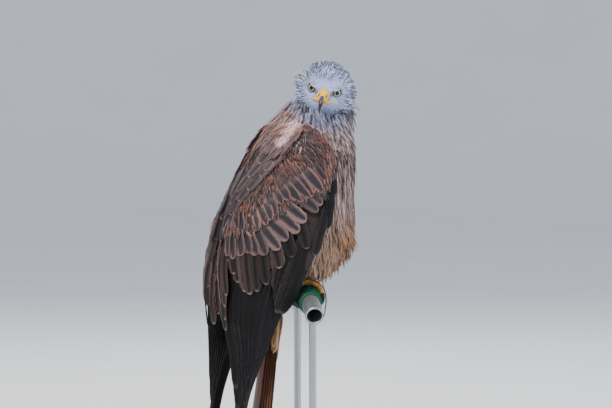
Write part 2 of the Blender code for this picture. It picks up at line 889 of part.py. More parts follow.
THIGH_SIDES = 14
THIGH_VANES = 7
THIGH_VANE_HALF = 4.6
THIGH_SECTIONS = [
    (19, -12, 22, 28, 9),
    (28, -20, 40, 29, 18),
    (42, -27, 50, 31, 23),
    (58, -30, 57, 33, 25),
    (76, -26, 58, 35, 22),
    (92, -14, 50, 35, 16),
]


def thigh_solid(name, side, finish, collection):
    rings = []
    for up, back, front, out, half in THIGH_SECTIONS:
        centre, deep = (back + front) / 2, (front - back) / 2
        ring = []
        for i in range(THIGH_SIDES):
            angle = 2 * math.pi * i / THIGH_SIDES
            ring.append(
                at(
                    centre + deep * math.cos(angle),
                    side * (out + half * math.sin(angle)),
                    up,
                )
            )
        rings.append(ring)
    return loft(name, rings, finish, collection)


def thigh_place(up, turn, push, side):
    """A place by the thigh: at a height, round it from the front, and out from its face."""
    back, front, out, half = smooth(max(up, THIGH_SECTIONS[0][0]), THIGH_SECTIONS)
    centre, deep = (back + front) / 2, (front - back) / 2
    facing = Vector((side * math.sin(turn) / half, -math.cos(turn) / deep, 0)).normalized()
    ahead = centre + deep * math.cos(turn)
    return at(ahead, side * (out + half * math.sin(turn)), up) + facing * push, facing


def thigh_vanes(side, collection):
    """Long feathers that hang round the front and the outer side of the leg."""
    made = []
    for k in range(THIGH_VANES):
        turn = math.radians(-70 + 190 * k / (THIGH_VANES - 1))
        root, tip = 44.0, 13.0 + 3.5 * math.sin(2.3 * k)
        centres, normals = [], []
        for s in VANE_STATIONS:
            up = root + (tip - root) * s
            place, facing = thigh_place(up, turn, -2.5 + 4.0 * ease(s / 0.5) - 1.5 * s, side)
            centres.append(place)
            normals.append(facing)
        halves = [THIGH_VANE_HALF * w for w in VANE_WIDTHS]
        made.append(vane(centres, normals, halves, [0.0] * len(centres), collection))
    return made


def toe_path(along, spread, start, end, steps):
    """Points round the perch from one angle to another, forward positive."""
    radius = TURF_RADIUS + TOE_RADIUS + 2 * GAP
    made = []
    for k in range(steps):
        s = k / (steps - 1)
        angle = start + (end - start) * s
        lift = radius * math.cos(angle) - TURF_RADIUS
        place = along + spread * s
        made.append(
            on_perch(place, radius * math.sin(angle), lift - bow_drop(place))
        )
    return made


TOES = (
    ("front", 0.0, 8, 76, 1.0),
    ("inner", -13.0, 10, 66, 0.94),
    ("outer", 13.0, 10, 68, 0.92),
    ("hind", 1.0, -8, -58, 1.0),
)
TOE_JOINTS = (1.15, 1.0, 1.06, 0.97, 0.98, 0.8)
CLAW_TURN = 42.0
CLAW_BACK = 2.4
CLAW_RADII = (2.7, 2.5, 2.1, 1.6, 1.0, 0.4)
TARSUS_RADII = (5.2, 4.8, 4.4, 4.6)


def tarsus_path(side):
    foot = on_perch(side * FOOT_ALONG, 0, TOE_RADIUS + 1)
    return [foot + Vector((0, 0.36 * rise, rise)) for rise in (0, 6, 20, 34)]


def tarsus_cutter(side, collection):
    path = tarsus_path(side)
    path[-1] = path[-1] + Vector((0, 0.2, 0.6))
    radii = [r + GAP for r in TARSUS_RADII]
    return tapered_tube("cut", path, radii, 10, None, collection)


def build_leg(word, side, finishes, parts, cutters):
    """One foot with its toes round the perch, its claws, the thigh over it, and its strap."""
    outward = -side
    path = tarsus_path(outward)
    foot = tapered_tube(
        f"foot_{word}", path, TARSUS_RADII, 10, finishes["foot"], parts
    )
    toes, cuts = [], []
    for label, spread, start, end, girth in TOES:
        aside = outward * spread
        spots = toe_path(
            outward * FOOT_ALONG, aside, math.radians(start * 0.2), math.radians(end), 6
        )
        radii = [TOE_RADIUS * girth * r for r in TOE_JOINTS]
        toes.append(tapered_tube("toe", spots, radii, 7, None, cutters))
        way = 1 if end > 0 else -1
        for name, back, grow, finish, owner in (
            (f"claw_{word}_{label}", 0.0, 0.0, finishes["claw"], parts),
            ("cut", CLAW_BACK, GAP, None, cutters),
        ):
            path = toe_path(
                outward * FOOT_ALONG + aside, 0.12 * aside,
                math.radians(end - way * back), math.radians(end + way * CLAW_TURN), 6,
            )
            radii = [r + grow for r in CLAW_RADII]
            claw = tapered_tube(name, path, radii, 6, finish, owner)
            if owner is cutters:
                cuts.append(claw)
    boolean(foot, "UNION", toes)
    for cut in cuts:
        boolean(foot, "DIFFERENCE", [cut])
    thigh = thigh_solid(f"thigh_{word}", side, finishes["thigh"], parts)
    boolean(thigh, "UNION", thigh_vanes(side, cutters))
    boolean(thigh, "DIFFERENCE", [body_cutter(cutters)])
    boolean(thigh, "DIFFERENCE", [tarsus_cutter(outward, cutters)])


# Perch and stand

def bow_stations(low, high):
    """The places along the bow where its pipe bends, the same for all that fits it."""
    step = TURF_NEAR / 2
    inner = [k * step for k in range(-9, 10) if low < k * step < high]
    return [low, *inner, high]


def bow_ring(along, radius):
    slope = math.asin(along / BOW_RADIUS)
    ring = []
    for i in range(BOW_SIDES):
        angle = 2 * math.pi * i / BOW_SIDES
        rise = radius * math.cos(angle)
        ring.append(
            on_perch(
                along + rise * math.sin(slope),
                radius * math.sin(angle),
                rise * math.cos(slope) - TURF_RADIUS - bow_drop(along),
            )
        )
    return ring


def bow_pipe(name, low, high, radius, inner, finish, collection):
    """A bent pipe: out along its outside and back along its inside."""
    stations = bow_stations(low, high)
    rings = [bow_ring(along, radius) for along in stations]
    rings += [bow_ring(along, inner) for along in stations[::-1]]
    return loft(name, rings, finish, collection, tube=True)


def build_perch(finishes, parts, cutters):
    bow_pipe(
        "perch_tube", TUBE_FAR, TUBE_NEAR, TUBE_RADIUS, TUBE_RADIUS - TUBE_WALL,
        finishes["tube"], parts,
    )
    bow_pipe(
        "perch_turf", TURF_FAR, TURF_NEAR, TURF_RADIUS, TUBE_RADIUS + GAP,
        finishes["turf"], parts,
    )
    base = cylinder(
        "stand_base", (0, 0, BASE_THICKNESS / 2), BASE_RADIUS, BASE_THICKNESS, 36,
        finishes["base"], parts,
    )
    edge = base.modifiers.new("edge", "BEVEL")
    edge.width = BASE_BEVEL * MM
    edge.segments = 1
    edge.angle_limit = math.radians(40)
    for side, word in ((1, "right"), (-1, "left")):
        top = on_perch(side * ROD_REACH, 0, -TURF_RADIUS - bow_drop(ROD_REACH))
        low = BASE_THICKNESS + GAP
        rod = cylinder(
            f"stand_rod_{word}", (top.x, top.y, (top.z + low) / 2), ROD_RADIUS,
            top.z - low, 14, finishes["rod"], parts,
        )
        stations = bow_stations(TUBE_FAR, TUBE_NEAR)
        rings = [bow_ring(along, TUBE_RADIUS + GAP) for along in stations]
        cut = loft("cut", rings, None, cutters)
        boolean(rod, "DIFFERENCE", [cut])


def build_anklet(word, side, finish, parts):
    """A leather cuff round the leg and the short strap that hangs from it over the perch."""
    outward = -side
    path = tarsus_path(outward)
    low, high = path[1], path[2]
    rings = []
    for radius, shares in ((7.4, (-0.25, 0.5)), (5.8, (0.5, -0.25))):
        for share in shares:
            middle = low.lerp(high, share)
            rings.append(
                [
                    middle
                    + Vector(
                        (
                            radius * math.cos(2 * math.pi * i / 14),
                            radius * math.sin(2 * math.pi * i / 14),
                            0,
                        )
                    )
                    for i in range(14)
                ]
            )
    loft(f"anklet_{word}", rings, finish, parts, tube=True)
    strap = [
        on_perch(outward * 37.2, -3, 9.5),
        on_perch(outward * 41, 3, 7.5),
        on_perch(outward * 46, 12, 4),
        on_perch(outward * 49, 20, -5),
        on_perch(outward * 50, 23, -18),
        on_perch(outward * 49, 22, -32),
        on_perch(outward * 48, 20, -44),
    ]
    tapered_tube(
        f"jess_{word}", strap, (1.7, 1.8, 1.9, 1.9, 1.9, 1.8, 1.2), 8, finish, parts,
        flat=0.5,
    )


def main():
    for old in list(bpy.data.objects):
        bpy.data.objects.remove(old)
    parts = bpy.data.collections.new("red_kite")
    cutters = bpy.data.collections.new("cutters")
    cutters.hide_render = True
    for made in (parts, cutters):
        bpy.context.scene.collection.children.link(made)
    finishes = {
        "body": material("breast_feathers", (0.42, 0.22, 0.12), 0.85),
        "neck": material("neck_hackles", (0.55, 0.45, 0.38), 0.85),
        "head": material("head_feathers", (0.72, 0.72, 0.76), 0.85),
        "eye": material("eye", (0.72, 0.68, 0.48), 0.1),
        "cere": material("cere", (0.88, 0.58, 0.08), 0.45),
        "bill": material("bill_horn", (0.09, 0.09, 0.11), 0.3),
        "wing": material("wing_feathers", (0.10, 0.07, 0.055), 0.7),
        "tail": material("tail_feathers", (0.45, 0.17, 0.07), 0.7),
        "thigh": material("thigh_feathers", (0.55, 0.30, 0.14), 0.85),
        "foot": material("foot_skin", (0.88, 0.55, 0.06), 0.5),
        "claw": material("claw_horn", (0.03, 0.03, 0.035), 0.25),
        "leather": material("strap_leather", (0.23, 0.14, 0.10), 0.6),
        "tube": material("perch_metal", (0.55, 0.57, 0.60), 0.35, 1.0),
        "turf": material("perch_turf", (0.03, 0.20, 0.11), 0.8),
        "base": material("stand_wood", (0.16, 0.09, 0.05), 0.45),
        "rod": material("stand_steel", (0.45, 0.46, 0.48), 0.3, 1.0),
    }
    torso = body_length("torso", torso_heights(), finishes["body"], parts)
    for side in (-1, 1):
        boolean(torso, "DIFFERENCE", [tarsus_cutter(side, cutters)])
    neck = body_length("neck", neck_heights(), finishes["neck"], parts)
    boolean(neck, "DIFFERENCE", [head_solid("head_cutter", None, cutters, GAP)])
    boolean(neck, "DIFFERENCE", [bill_solid("cut", LOWER_SECTIONS, None, cutters, GAP)])
    build_head(finishes, parts, cutters)
    for side, word in ((-1, "right"), (1, "left")):
        build_wing(f"wing_{word}", side, finishes["wing"], parts, cutters)
        build_leg(word, side, finishes, parts, cutters)
        build_anklet(word, side, finishes["leather"], parts)
    build_tail(finishes["tail"], parts, cutters)
    build_perch(finishes, parts, cutters)
    for made in parts.objects:
        made.data.shade_smooth()
        made.data.set_sharp_from_angle(angle=math.radians(40))


main()
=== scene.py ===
"""The looks of a life-size red kite on a cut length of its bow perch, held by a plain stand.

Sizes are in millimetres, as in the solids, and become metres where a mesh is made. The bird is
measured from the top of the perch between its feet: forward, left and up. One skin takes the
place of the fleshy solids. Small feathers are laid over it in staggered rows, and the large
feathers of the wings and tail are shaped one by one along the same folded wing as the solids.
"""

import math

import bmesh
import bpy
import numpy as np
from mathutils import Matrix, Vector
from mathutils.bvhtree import BVHTree


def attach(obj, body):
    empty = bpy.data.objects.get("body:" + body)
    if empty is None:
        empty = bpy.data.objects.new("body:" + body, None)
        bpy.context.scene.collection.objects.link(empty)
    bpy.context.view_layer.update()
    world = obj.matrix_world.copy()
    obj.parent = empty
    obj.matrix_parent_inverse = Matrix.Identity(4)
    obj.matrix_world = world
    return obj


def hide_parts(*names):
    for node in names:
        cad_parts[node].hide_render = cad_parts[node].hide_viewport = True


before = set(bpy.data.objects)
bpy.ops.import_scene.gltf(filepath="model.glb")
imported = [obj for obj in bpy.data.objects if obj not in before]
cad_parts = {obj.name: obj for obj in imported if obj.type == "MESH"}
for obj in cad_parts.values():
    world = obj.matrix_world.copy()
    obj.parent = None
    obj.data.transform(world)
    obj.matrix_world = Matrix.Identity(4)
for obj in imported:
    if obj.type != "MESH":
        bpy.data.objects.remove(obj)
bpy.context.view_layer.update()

MM = 0.001
SEED = 11
chances = np.random.default_rng(SEED)
PATCH = 0.003
SIDES = ((-1, "right"), (1, "left"))

# Perch and stand
PERCH_TOP = 296.0
PERCH_FORWARD = 30.0
PERCH_YAW = math.radians(15.0)
BOW_RADIUS = 280.0
TUBE_RADIUS = 12.5
TUBE_WALL = 2.0
TUBE_NEAR, TUBE_FAR = 106.0, -100.0
TURF_RADIUS = 16.5
TURF_NEAR, TURF_FAR = 64.0, -64.0
PILE_COUNT = 7600
PILE_ROOT = TURF_RADIUS - 1.6
# Each a radius and a height
BASE_PROFILE = [
    (0.6, 0), (111.5, 0), (112.6, 0.5), (113, 1.5), (113, 11.5), (112.3, 13), (110.8, 14), (0.6, 14),
]

# Body sections, lowest first: up, back, front, half width, left, turn in degrees
BODY_SECTIONS = [
    (-30, -58, -42, 9, 0, 0),
    (-18, -64, -32, 18, 0, 0),
    (0, -71, -26, 27, 0, 0),
    (18, -78, -23, 36, 0, 0),
    (30, -83, 2, 43, 0, 0),
    (46, -88, 48, 51, 0, 0),
    (66, -91, 68, 57, 0, 0),
    (90, -93, 71, 60, 0, 0),
    (120, -91, 70, 62, 0, 0),
    (150, -84, 70, 62, 0, 0),
    (180, -74, 70, 59, 0, 0),
    (205, -59, 68, 52, 0, 0),
    (225, -44, 67, 37, 2, 8),
    (240, -30, 68, 24, 5, 16),
    (252, -18, 62, 17, 7, 22),
    (259, -4, 50, 11, 7, 22),
]

# Head, in its own frame: forward, half width, top, bottom
HEAD_CENTRE = (25.6, -13.0, 268.0)
HEAD_YAW = math.radians(-116.0)
HEAD_PITCH = math.radians(14.0)
HEAD_ROLL = math.radians(11.5)
HEAD_JOWL = 0.12
HEAD_SECTIONS = [
    (-43, 9, 6, 10),
    (-38, 22, 16, 24),
    (-28, 32, 27, 35),
    (-15, 38.5, 33, 41),
    (-2, 40.5, 36, 43),
    (8, 37, 35, 40),
    (16, 30, 28.5, 34),
    (23, 22, 19.5, 26),
    (28, 15, 12, 19),
    (32, 9, 7, 13),
]
EYE_RADIUS = 7.6
EYE_PLACE = (19.0, 15.2, 3.8)
EYE_TURN = math.radians(38.0)
EYE_SIGHT = math.radians(27.0)
# How far from the pupil's middle each ring of the eye starts and ends
PUPIL_RIM, IRIS_RING, IRIS_RIM = (3.1, 3.3), (3.3, 3.7), (4.1, 4.9)
RIM_REACH, RIM_WIDTH, RIM_DEPTH = 5.5, 0.8, 1.1
LID_RADIUS = EYE_RADIUS + 1.25
BROW_FROWN = math.radians(22.0)
BROW_REACH = 57.0
BROW_INNER, BROW_OUTER = (28.0, 9.5, 7.5), (9.0, 28.0, 12.5)
LORE_PLACE = (25.5, 10.5, 1.0)
CHIN_PLACE = (16.0, 0.0, -34.0)
BILL_BASE = 26.0
CERE_SECTIONS = [
    (BILL_BASE - 3, 7.2, 5.0, -9.0),
    (BILL_BASE + 2, 7.8, 7.4, -9.8),
    (BILL_BASE + 7, 7.2, 6.6, -10.2),
    (BILL_BASE + 12, 6.2, 4.2, -9.4),
    (BILL_BASE + 15.5, 5.2, 1.6, -7.8),
]
UPPER_SECTIONS = [
    (BILL_BASE + 7, 4.6, 4.0, -7.4),
    (BILL_BASE + 12, 4.4, 2.6, -8.4),
    (BILL_BASE + 16.5, 3.9, 0.4, -9.4),
    (BILL_BASE + 20.5, 3.3, -2.8, -10.8),
    (BILL_BASE + 23.8, 2.7, -7.0, -12.6),
    (BILL_BASE + 25.6, 2.1, -11.6, -15.2),
    (BILL_BASE + 26.0, 1.5, -15.8, -18.0),
    (BILL_BASE + 25.4, 0.8, -18.8, -20.2),
    (BILL_BASE + 24.8, 0.35, -20.8, -21.6),
]
LOWER_SECTIONS = [
    (BILL_BASE - 6, 5.2, -9.6, -13.4),
    (BILL_BASE + 8, 4.7, -10.0, -13.8),
    (BILL_BASE + 14, 4.0, -9.8, -13.4),
    (BILL_BASE + 19, 2.9, -10.8, -13.2),
    (BILL_BASE + 22, 1.4, -11.9, -13.0),
]
NOSTRIL_PLACE = (BILL_BASE + 13.0, 4.9, 0.3)
# The mouth's corner, from under the cere back below the eye
GAPE_PLACES = [
    (BILL_BASE + 8, 5.4, -8.2),
    (BILL_BASE + 3, 9.4, -9.0),
    (BILL_BASE + 0.2, 13.2, -9.6),
    (BILL_BASE - 3.6, 17.0, -9.8),
]
GAPE_RADII = (1.7, 1.6, 1.5, 0.9)

# Wing outline, highest first: up, leading edge (forward, out), rear edge (forward, out), and how
# squarely its outer face turns from the side to the back
WING_SECTIONS = [
    (226, -14, 34, -34, 26, 0.7),
    (218, -1, 46, -50, 22, 0.7),
    (206, 9, 58, -60, 20, 0.75),
    (190, 14, 68, -73, 16, 0.8),
    (167, 15, 74, -87, 12, 0.85),
    (143, 15, 76, -100, 10, 0.9),
    (115, 12, 77, -113, 8, 0.95),
    (91, 7, 77, -122, 8, 0.95),
    (61, -4, 75, -129, 8, 0.95),
    (25, -21, 72, -132, 8, 0.9),
    (-10, -38, 68, -131, 11, 0.8),
    (-37, -54, 63, -129, 15, 0.65),
    (-86, -74, 55, -123, 26, 0.5),
    (-142, -95, 47, -121, 31, 0.4),
    (-190, -104, 43, -119, 35, 0.4),
    (-236, -110, 41, -117, 37, 0.4),
]
# What the wing on the left differs by: up, leading edge back, rear edge back and out
LEFT_WING = [
    (-236, 12, 12, 3),
    (-142, 8, 8, 6),
    (-60, 4, 7, 9),
    (-10, 0, 11, 9),
    (60, 0, 7, 4),
    (120, 0, 3, 0),
    (226, 0, 0, 0),
]
WING_TOP = 226.0

# Tail
TAIL_ROOT = (-46.0, 16.0)
TAIL_LEAN = math.radians(8.0)
TAIL_OUTER, TAIL_INNER = 293.0, 226.0
TAIL_PAIRS = 6
TAIL_CORE = [
    (20, 24, 15, -13),
    (42, 25, 12, -15),
    (68, 22, 7, -14),
    (94, 15, 2, -11),
    (114, 5, -3, -8),
]

# Legs and straps: thigh sections are up, back, front, middle outwards, half width
THIGH_SECTIONS = [
    (19, -12, 22, 28, 9),
    (28, -20, 40, 29, 18),
    (42, -27, 50, 31, 23),
    (58, -30, 57, 33, 25),
    (76, -26, 58, 35, 22),
    (92, -14, 50, 35, 16),
]
FOOT_ALONG = 27.0
TARSUS_RADII = (5.2, 4.8, 4.4, 4.6)
TOE_RADIUS = 3.6
# Each toe's turn to the side, the angles round the perch where it starts and ends, and its girth
TOES = (
    ("front", 0, 8, 76, 1.0),
    ("inner", -13, 10, 66, 0.94),
    ("outer", 13, 10, 68, 0.92),
    ("hind", 1, -8, -58, 1.0),
)
TOE_JOINTS = (1.15, 1.0, 1.06, 0.97, 0.98, 0.8)
CLAW_TURN = 42.0
CLAW_RADII = (2.7, 2.5, 2.1, 1.6, 1.0, 0.4)
# Each a radius and a share of the way up the leg
CUFF_PROFILE = ((5.8, -0.25), (7.3, -0.25), (7.5, -0.22), (7.5, 0.47), (7.3, 0.5), (5.8, 0.5))
BAND_PROFILE = ((7.6, 0.0), (7.95, 0.02), (7.95, 0.2), (7.6, 0.22))
# Along the perch, forward, up
STRAP_PLACES = [
    (37.2, -3, 9.5), (41, 3, 7.5), (46, 12, 4), (49, 20, -5), (50, 23, -18), (49, 22, -32),
    (48, 20, -44),
]
STRAP_RADII = (1.7, 1.8, 1.9, 1.9, 1.9, 1.8, 1.2)

# Lights, each with its place, size, power and colour, and the camera, in metres
LIGHTS = (
    ("key", (-1.3, 1.5, 2.5), 0.6, 100.0, (1.0, 0.94, 0.86)),
    ("fill", (-1.5, -2.4, 1.3), 2.0, 56.0, (0.88, 0.93, 1.0)),
    ("back", (1.9, -0.6, 2.0), 1.2, 34.0, (1.0, 0.96, 0.9)),
)
LIGHT_TARGET = Vector((0, -0.03, 0.38))
CAMERA_TURN, CAMERA_RISE = math.radians(-112.0), math.radians(3.0)
CAMERA_REACH = 4.692
CAMERA_TARGET = Vector((-0.00052, -0.03128, 0.405))


# Places on the bird

def at(forward, left, up):
    """Places on the bird as places in the frame, in metres."""
    forward, left, up = np.broadcast_arrays(forward, left, up)
    return np.stack([left, -PERCH_FORWARD - forward, PERCH_TOP + up], -1) * MM


def ease(s):
    """0 to 1 with a level start and end."""
    s = np.clip(s, 0.0, 1.0)
    return s * s * (3 - 2 * s)


def smooth(x, rows):
    """The values at each x of a smooth curve through rows, each an x and one or more values."""
    table = np.array(rows, float)
    if table[0, 0] > table[-1, 0]:
        table = table[::-1]
    xs, ys = table[:, 0], table[:, 1:]
    x = np.clip(np.asarray(x, float), xs[0], xs[-1])
    slopes = np.gradient(ys, xs, axis=0)
    i = np.clip(np.searchsorted(xs, x, side="right") - 1, 0, len(xs) - 2)
    width = (xs[i + 1] - xs[i])[..., None]
    s = (x - xs[i])[..., None] / width
    a = 2 * s**3 - 3 * s**2 + 1
    b = s**3 - 2 * s**2 + s
    c = -2 * s**3 + 3 * s**2
    d = s**3 - s**2
    return a * ys[i] + b * width * slopes[i] + c * ys[i + 1] + d * width * slopes[i + 1]


def unit(v):
    """Directions one long."""
    return v / np.maximum(np.linalg.norm(v, axis=-1, keepdims=True), 1e-12)


def full_turn(count):
    return 2 * math.pi * np.arange(count) / count


def circle(first, second, count):
    """Places round a circle from its two radii, or round an oval when they differ."""
    turn = full_turn(count)
    return np.cos(turn)[:, None] * first + np.sin(turn)[:, None] * second


def body_place(up, angle, grow=0.0):
    """The body's surface: a height, and an angle from the front round to the bird's left."""
    up, angle = np.broadcast_arrays(np.asarray(up, float), np.asarray(angle, float))
    back, front, half, left, turn = np.moveaxis(smooth(up, BODY_SECTIONS), -1, 0)
    turn = np.radians(turn)
    ahead = ((front - back) / 2 + grow) * np.cos(angle)
    out = (half + grow) * np.sin(angle)
    return at(
        (back + front) / 2 + ahead * np.cos(turn) + out * np.sin(turn),
        left + out * np.cos(turn) - ahead * np.sin(turn),
        up,
    )


def head_turn():
    turn = Matrix.Rotation(HEAD_YAW, 3, "Z")
    tilt = Matrix.Rotation(HEAD_ROLL, 3, "Y")
    nod = Matrix.Rotation(HEAD_PITCH, 3, "X")
    return np.array(turn @ tilt @ nod)


HEAD_TURN = head_turn()


def on_head(forward, left, up):
    """Places in the head's own frame as places in the frame, in metres."""
    forward, left, up = np.broadcast_arrays(forward, left, up)
    local = np.stack([left, -forward, up], -1).astype(float)
    return at(*HEAD_CENTRE) + local @ HEAD_TURN.T * MM


def segment_distance(places, start, end):
    """How far places lie from the line between two of them."""
    start, end = np.array(start, float), np.array(end, float)
    along = end - start
    share = np.clip((places - start) @ along / (along @ along), 0, 1)
    return np.linalg.norm(places - start - share[..., None] * along, axis=-1)


def head_place(station, angle, grow=0.0):
    """The head's surface, with its brows raised and the eyes set in."""
    rows = [(k, *section) for k, section in enumerate(HEAD_SECTIONS)]
    station, angle = np.broadcast_arrays(np.asarray(station, float), np.asarray(angle, float))
    forward, half, top, bottom = np.moveaxis(smooth(station, rows), -1, 0)
    rise = np.sin(angle)
    tall = np.where(rise > 0, top, bottom)
    base = np.stack(
        [forward, half * (1 - HEAD_JOWL * rise) * np.cos(angle), tall * rise], -1
    )
    middle = np.stack([np.minimum(forward, 4.0) * 0.9, 0 * forward, 0 * forward], -1)
    out = unit(base - middle)
    swell = 0 * forward
    for side in (-1, 1):
        flip = np.array([1, side, 1])
        brow = segment_distance(base, np.array(BROW_INNER) * flip, np.array(BROW_OUTER) * flip)
        eye = segment_distance(base, np.array(EYE_PLACE) * flip, np.array(EYE_PLACE) * flip * 1.3)
        swell = swell + 2.8 * np.exp(-((brow / 3.8) ** 2)) - 1.6 * np.exp(-((eye / 7.0) ** 2))
    moved = base + out * np.expand_dims(swell + grow, -1)
    return on_head(moved[..., 0], moved[..., 1], moved[..., 2])


def wing_edges(up, side):
    """Leading edge, rear edge and squareness of the folded wing at each height."""
    values = smooth(up, WING_SECTIONS)
    lead, rear, square = values[..., 0:2], values[..., 2:4], values[..., 4]
    if side > 0:
        change = smooth(up, LEFT_WING)
        lead = lead - np.stack([change[..., 0], 0 * change[..., 0]], -1)
        rear = rear + np.stack([-change[..., 1], change[..., 2]], -1)
    return lead, rear, square


def wing_flat(up, across, side):
    """Places on the folded wing's outer face."""
    lead, rear, square = wing_edges(up, side)
    middle = (lead + rear) / 2
    corner = np.stack([rear[..., 0], lead[..., 1]], -1)
    control = middle + square[..., None] * (corner - middle)
    t = across[..., None]
    place = (1 - t) ** 2 * lead + 2 * t * (1 - t) * control + t**2 * rear
    return at(place[..., 0], side * place[..., 1], up)


def wing_place(up, across, height, side):
    """Places over the folded wing's outer face, and the face's outward directions."""
    up, across = np.broadcast_arrays(np.asarray(up, float), np.asarray(across, float))
    along = wing_flat(up - 4, across, side) - wing_flat(up + 4, across, side)
    behind = wing_flat(up, np.minimum(across + 0.02, 1), side)
    over = behind - wing_flat(up, np.maximum(across - 0.02, 0), side)
    normal = unit(np.cross(along, over))
    flip = np.sign(normal @ np.array([side, 0.6, 0.0]))
    normal = normal * flip[..., None]
    return wing_flat(up, across, side) + normal * np.expand_dims(height, -1) * MM, normal


def wing_sink(up, across):
    """How far the core lies under the wing's outer face, to leave room for the feathers."""
    edge = 0.35 + 0.65 * ease(across / 0.12)
    back = 1 - 0.5 * ease((across - 0.55) / 0.3) * ease((up - 60) / 40)
    upper = (2.0 + 4.5 * ease((216 - up) / 40)) * edge * back
    return upper + (13.0 - upper) * ease((36 - up) / 46)


def wing_depth(up, across):
    """How thick the folded wing is."""
    deep = 3.0 + 26.0 * ease((up + 14) / 74) * (0.35 + 0.65 * np.sin(math.pi * across))
    return deep * ease((WING_TOP + 12 - up) / 30)


def thigh_place(up, turn, side, grow=0.0):
    up, turn = np.broadcast_arrays(np.asarray(up, float), np.asarray(turn, float))
    back, front, out, half = np.moveaxis(smooth(up, THIGH_SECTIONS), -1, 0)
    ahead = (back + front) / 2 + ((front - back) / 2 + grow) * np.cos(turn)
    return at(ahead, side * (out + (half + grow) * np.sin(turn)), up)


def tail_place(along, left, toward_back):
    """A point of the tail: down it from its root, to the left, and towards its upper face."""
    lean = math.sin(TAIL_LEAN), math.cos(TAIL_LEAN)
    forward = TAIL_ROOT[0] - np.asarray(along) * lean[0] - np.asarray(toward_back) * lean[1]
    up = TAIL_ROOT[1] - np.asarray(along) * lean[1] + np.asarray(toward_back) * lean[0]
    return at(forward, left, up)


def tail_core_place(along, angle, grow=0.0):
    along, angle = np.broadcast_arrays(np.asarray(along, float), np.asarray(angle, float))
    half, back, front = np.moveaxis(smooth(along, TAIL_CORE), -1, 0)
    deep = (back - front) / 2 + grow
    return tail_place(
        along, (half + grow) * np.cos(angle), (back + front) / 2 + deep * np.sin(angle)
    )


def on_perch(along, forward, up):
    """A place by the perch: along it to the bird's right, forward of it, above its top."""
    left = -math.cos(PERCH_YAW) * along - math.sin(PERCH_YAW) * forward
    ahead = -math.sin(PERCH_YAW) * along + math.cos(PERCH_YAW) * forward
    return at(ahead, left, up)


def bow_drop(along):
    """How far the bow's middle line has fallen this far along it."""
    return BOW_RADIUS - np.sqrt(BOW_RADIUS**2 - along**2)


# Meshes

def place_mesh(name, points, faces, finish=None, marks=None, bake=None):
    """An object from points in metres, with marks per point and bake places per face corner."""
    mesh = bpy.data.meshes.new(name)
    mesh.from_pydata(np.asarray(points, float).reshape(-1, 3).tolist(), [], faces)
    for label, values in (marks or {}).items():
        kind = "FLOAT_VECTOR" if np.ndim(values) == 2 else "FLOAT"
        field = "vector" if np.ndim(values) == 2 else "value"
        attribute = mesh.attributes.new(label, kind, "POINT")
        attribute.data.foreach_set(field, np.asarray(values, np.float32).ravel())
    if bake is not None:
        corners = np.zeros(len(mesh.loops), np.int64)
        mesh.loops.foreach_get("vertex_index", corners)
        layer = mesh.uv_layers.new(name="OFBake")
        layer.data.foreach_set("uv", np.asarray(bake, np.float32)[corners].ravel())
    mesh.shade_smooth()
    made = bpy.data.objects.new(name, mesh)
    bpy.context.scene.collection.objects.link(made)
    if finish:
        mesh.materials.append(finish)
    return made


def loft_faces(rows, count, first=0, tube=False):
    """Quads between rings of count points, with fans at both ends unless it is a tube."""
    faces = []
    for k in range(rows if tube else rows - 1):
        low, high = first + k * count, first + (k + 1) % rows * count
        for i in range(count):
            j = (i + 1) % count
            faces.append((low + i, low + j, high + j, high + i))
    if not tube:
        end = first + rows * count
        faces += [(first + (i + 1) % count, first + i, end) for i in range(count)]
        last = end - count
        faces += [(last + i, last + (i + 1) % count, end + 1) for i in range(count)]
    return faces


def loft(name, rings, finish=None, tube=False, marks=None):
    """A closed solid through rings of points, turned outwards."""
    rings = np.asarray(rings, float)
    rows, count = rings.shape[:2]
    points = rings.reshape(-1, 3)
    if not tube:
        points = np.concatenate([points, [rings[0].mean(0)], [rings[-1].mean(0)]])
    made = place_mesh(name, points, loft_faces(rows, count, tube=tube), finish, marks)
    face_outwards(made)
    return made


def face_outwards(made):
    shape = bmesh.new()
    shape.from_mesh(made.data)
    bmesh.ops.recalc_face_normals(shape, faces=shape.faces)
    shape.to_mesh(made.data)
    shape.free()


def limb(name, path, radii, sides, finish=None, flat=1.0, fine=1):
    """A tapered limb along a smooth path of points in metres."""
    path, radii = np.asarray(path, float), np.asarray(radii, float)
    if fine > 1:
        steps = np.linspace(0, len(path) - 1, (len(path) - 1) * fine + 1)
        rows = [(k, *p, r) for k, (p, r) in enumerate(zip(path, radii))]
        values = smooth(steps, rows)
        path, radii = values[:, :3], values[:, 3]
    side = np.array([1.0, 0, 0])
    rings = []
    for place, ahead, radius in zip(path, unit(np.gradient(path, axis=0)), radii):
        up = unit(np.cross(ahead, side))
        side = unit(np.cross(up, ahead))
        rings.append(place + radius * MM * circle(side, flat * up, sides))
    return loft(name, rings, finish)


def plain_mesh(made):
    """Turns a piece's modifiers into its plain mesh."""
    graph = bpy.context.evaluated_depsgraph_get()
    mesh = bpy.data.meshes.new_from_object(
        made.evaluated_get(graph), preserve_all_data_layers=True, depsgraph=graph
    )
    made.modifiers.clear()
    made.data = mesh


def joined(name, parts, finish=None):
    """Several meshes as one object."""
    shape = bmesh.new()
    for part in parts:
        shape.from_mesh(part.data)
    mesh = bpy.data.meshes.new(name)
    shape.to_mesh(mesh)
    shape.free()
    for part in parts:
        bpy.data.objects.remove(part)
    mesh.shade_smooth()
    if finish:
        mesh.materials.append(finish)
    made = bpy.data.objects.new(name, mesh)
    bpy.context.scene.collection.objects.link(made)
    return made


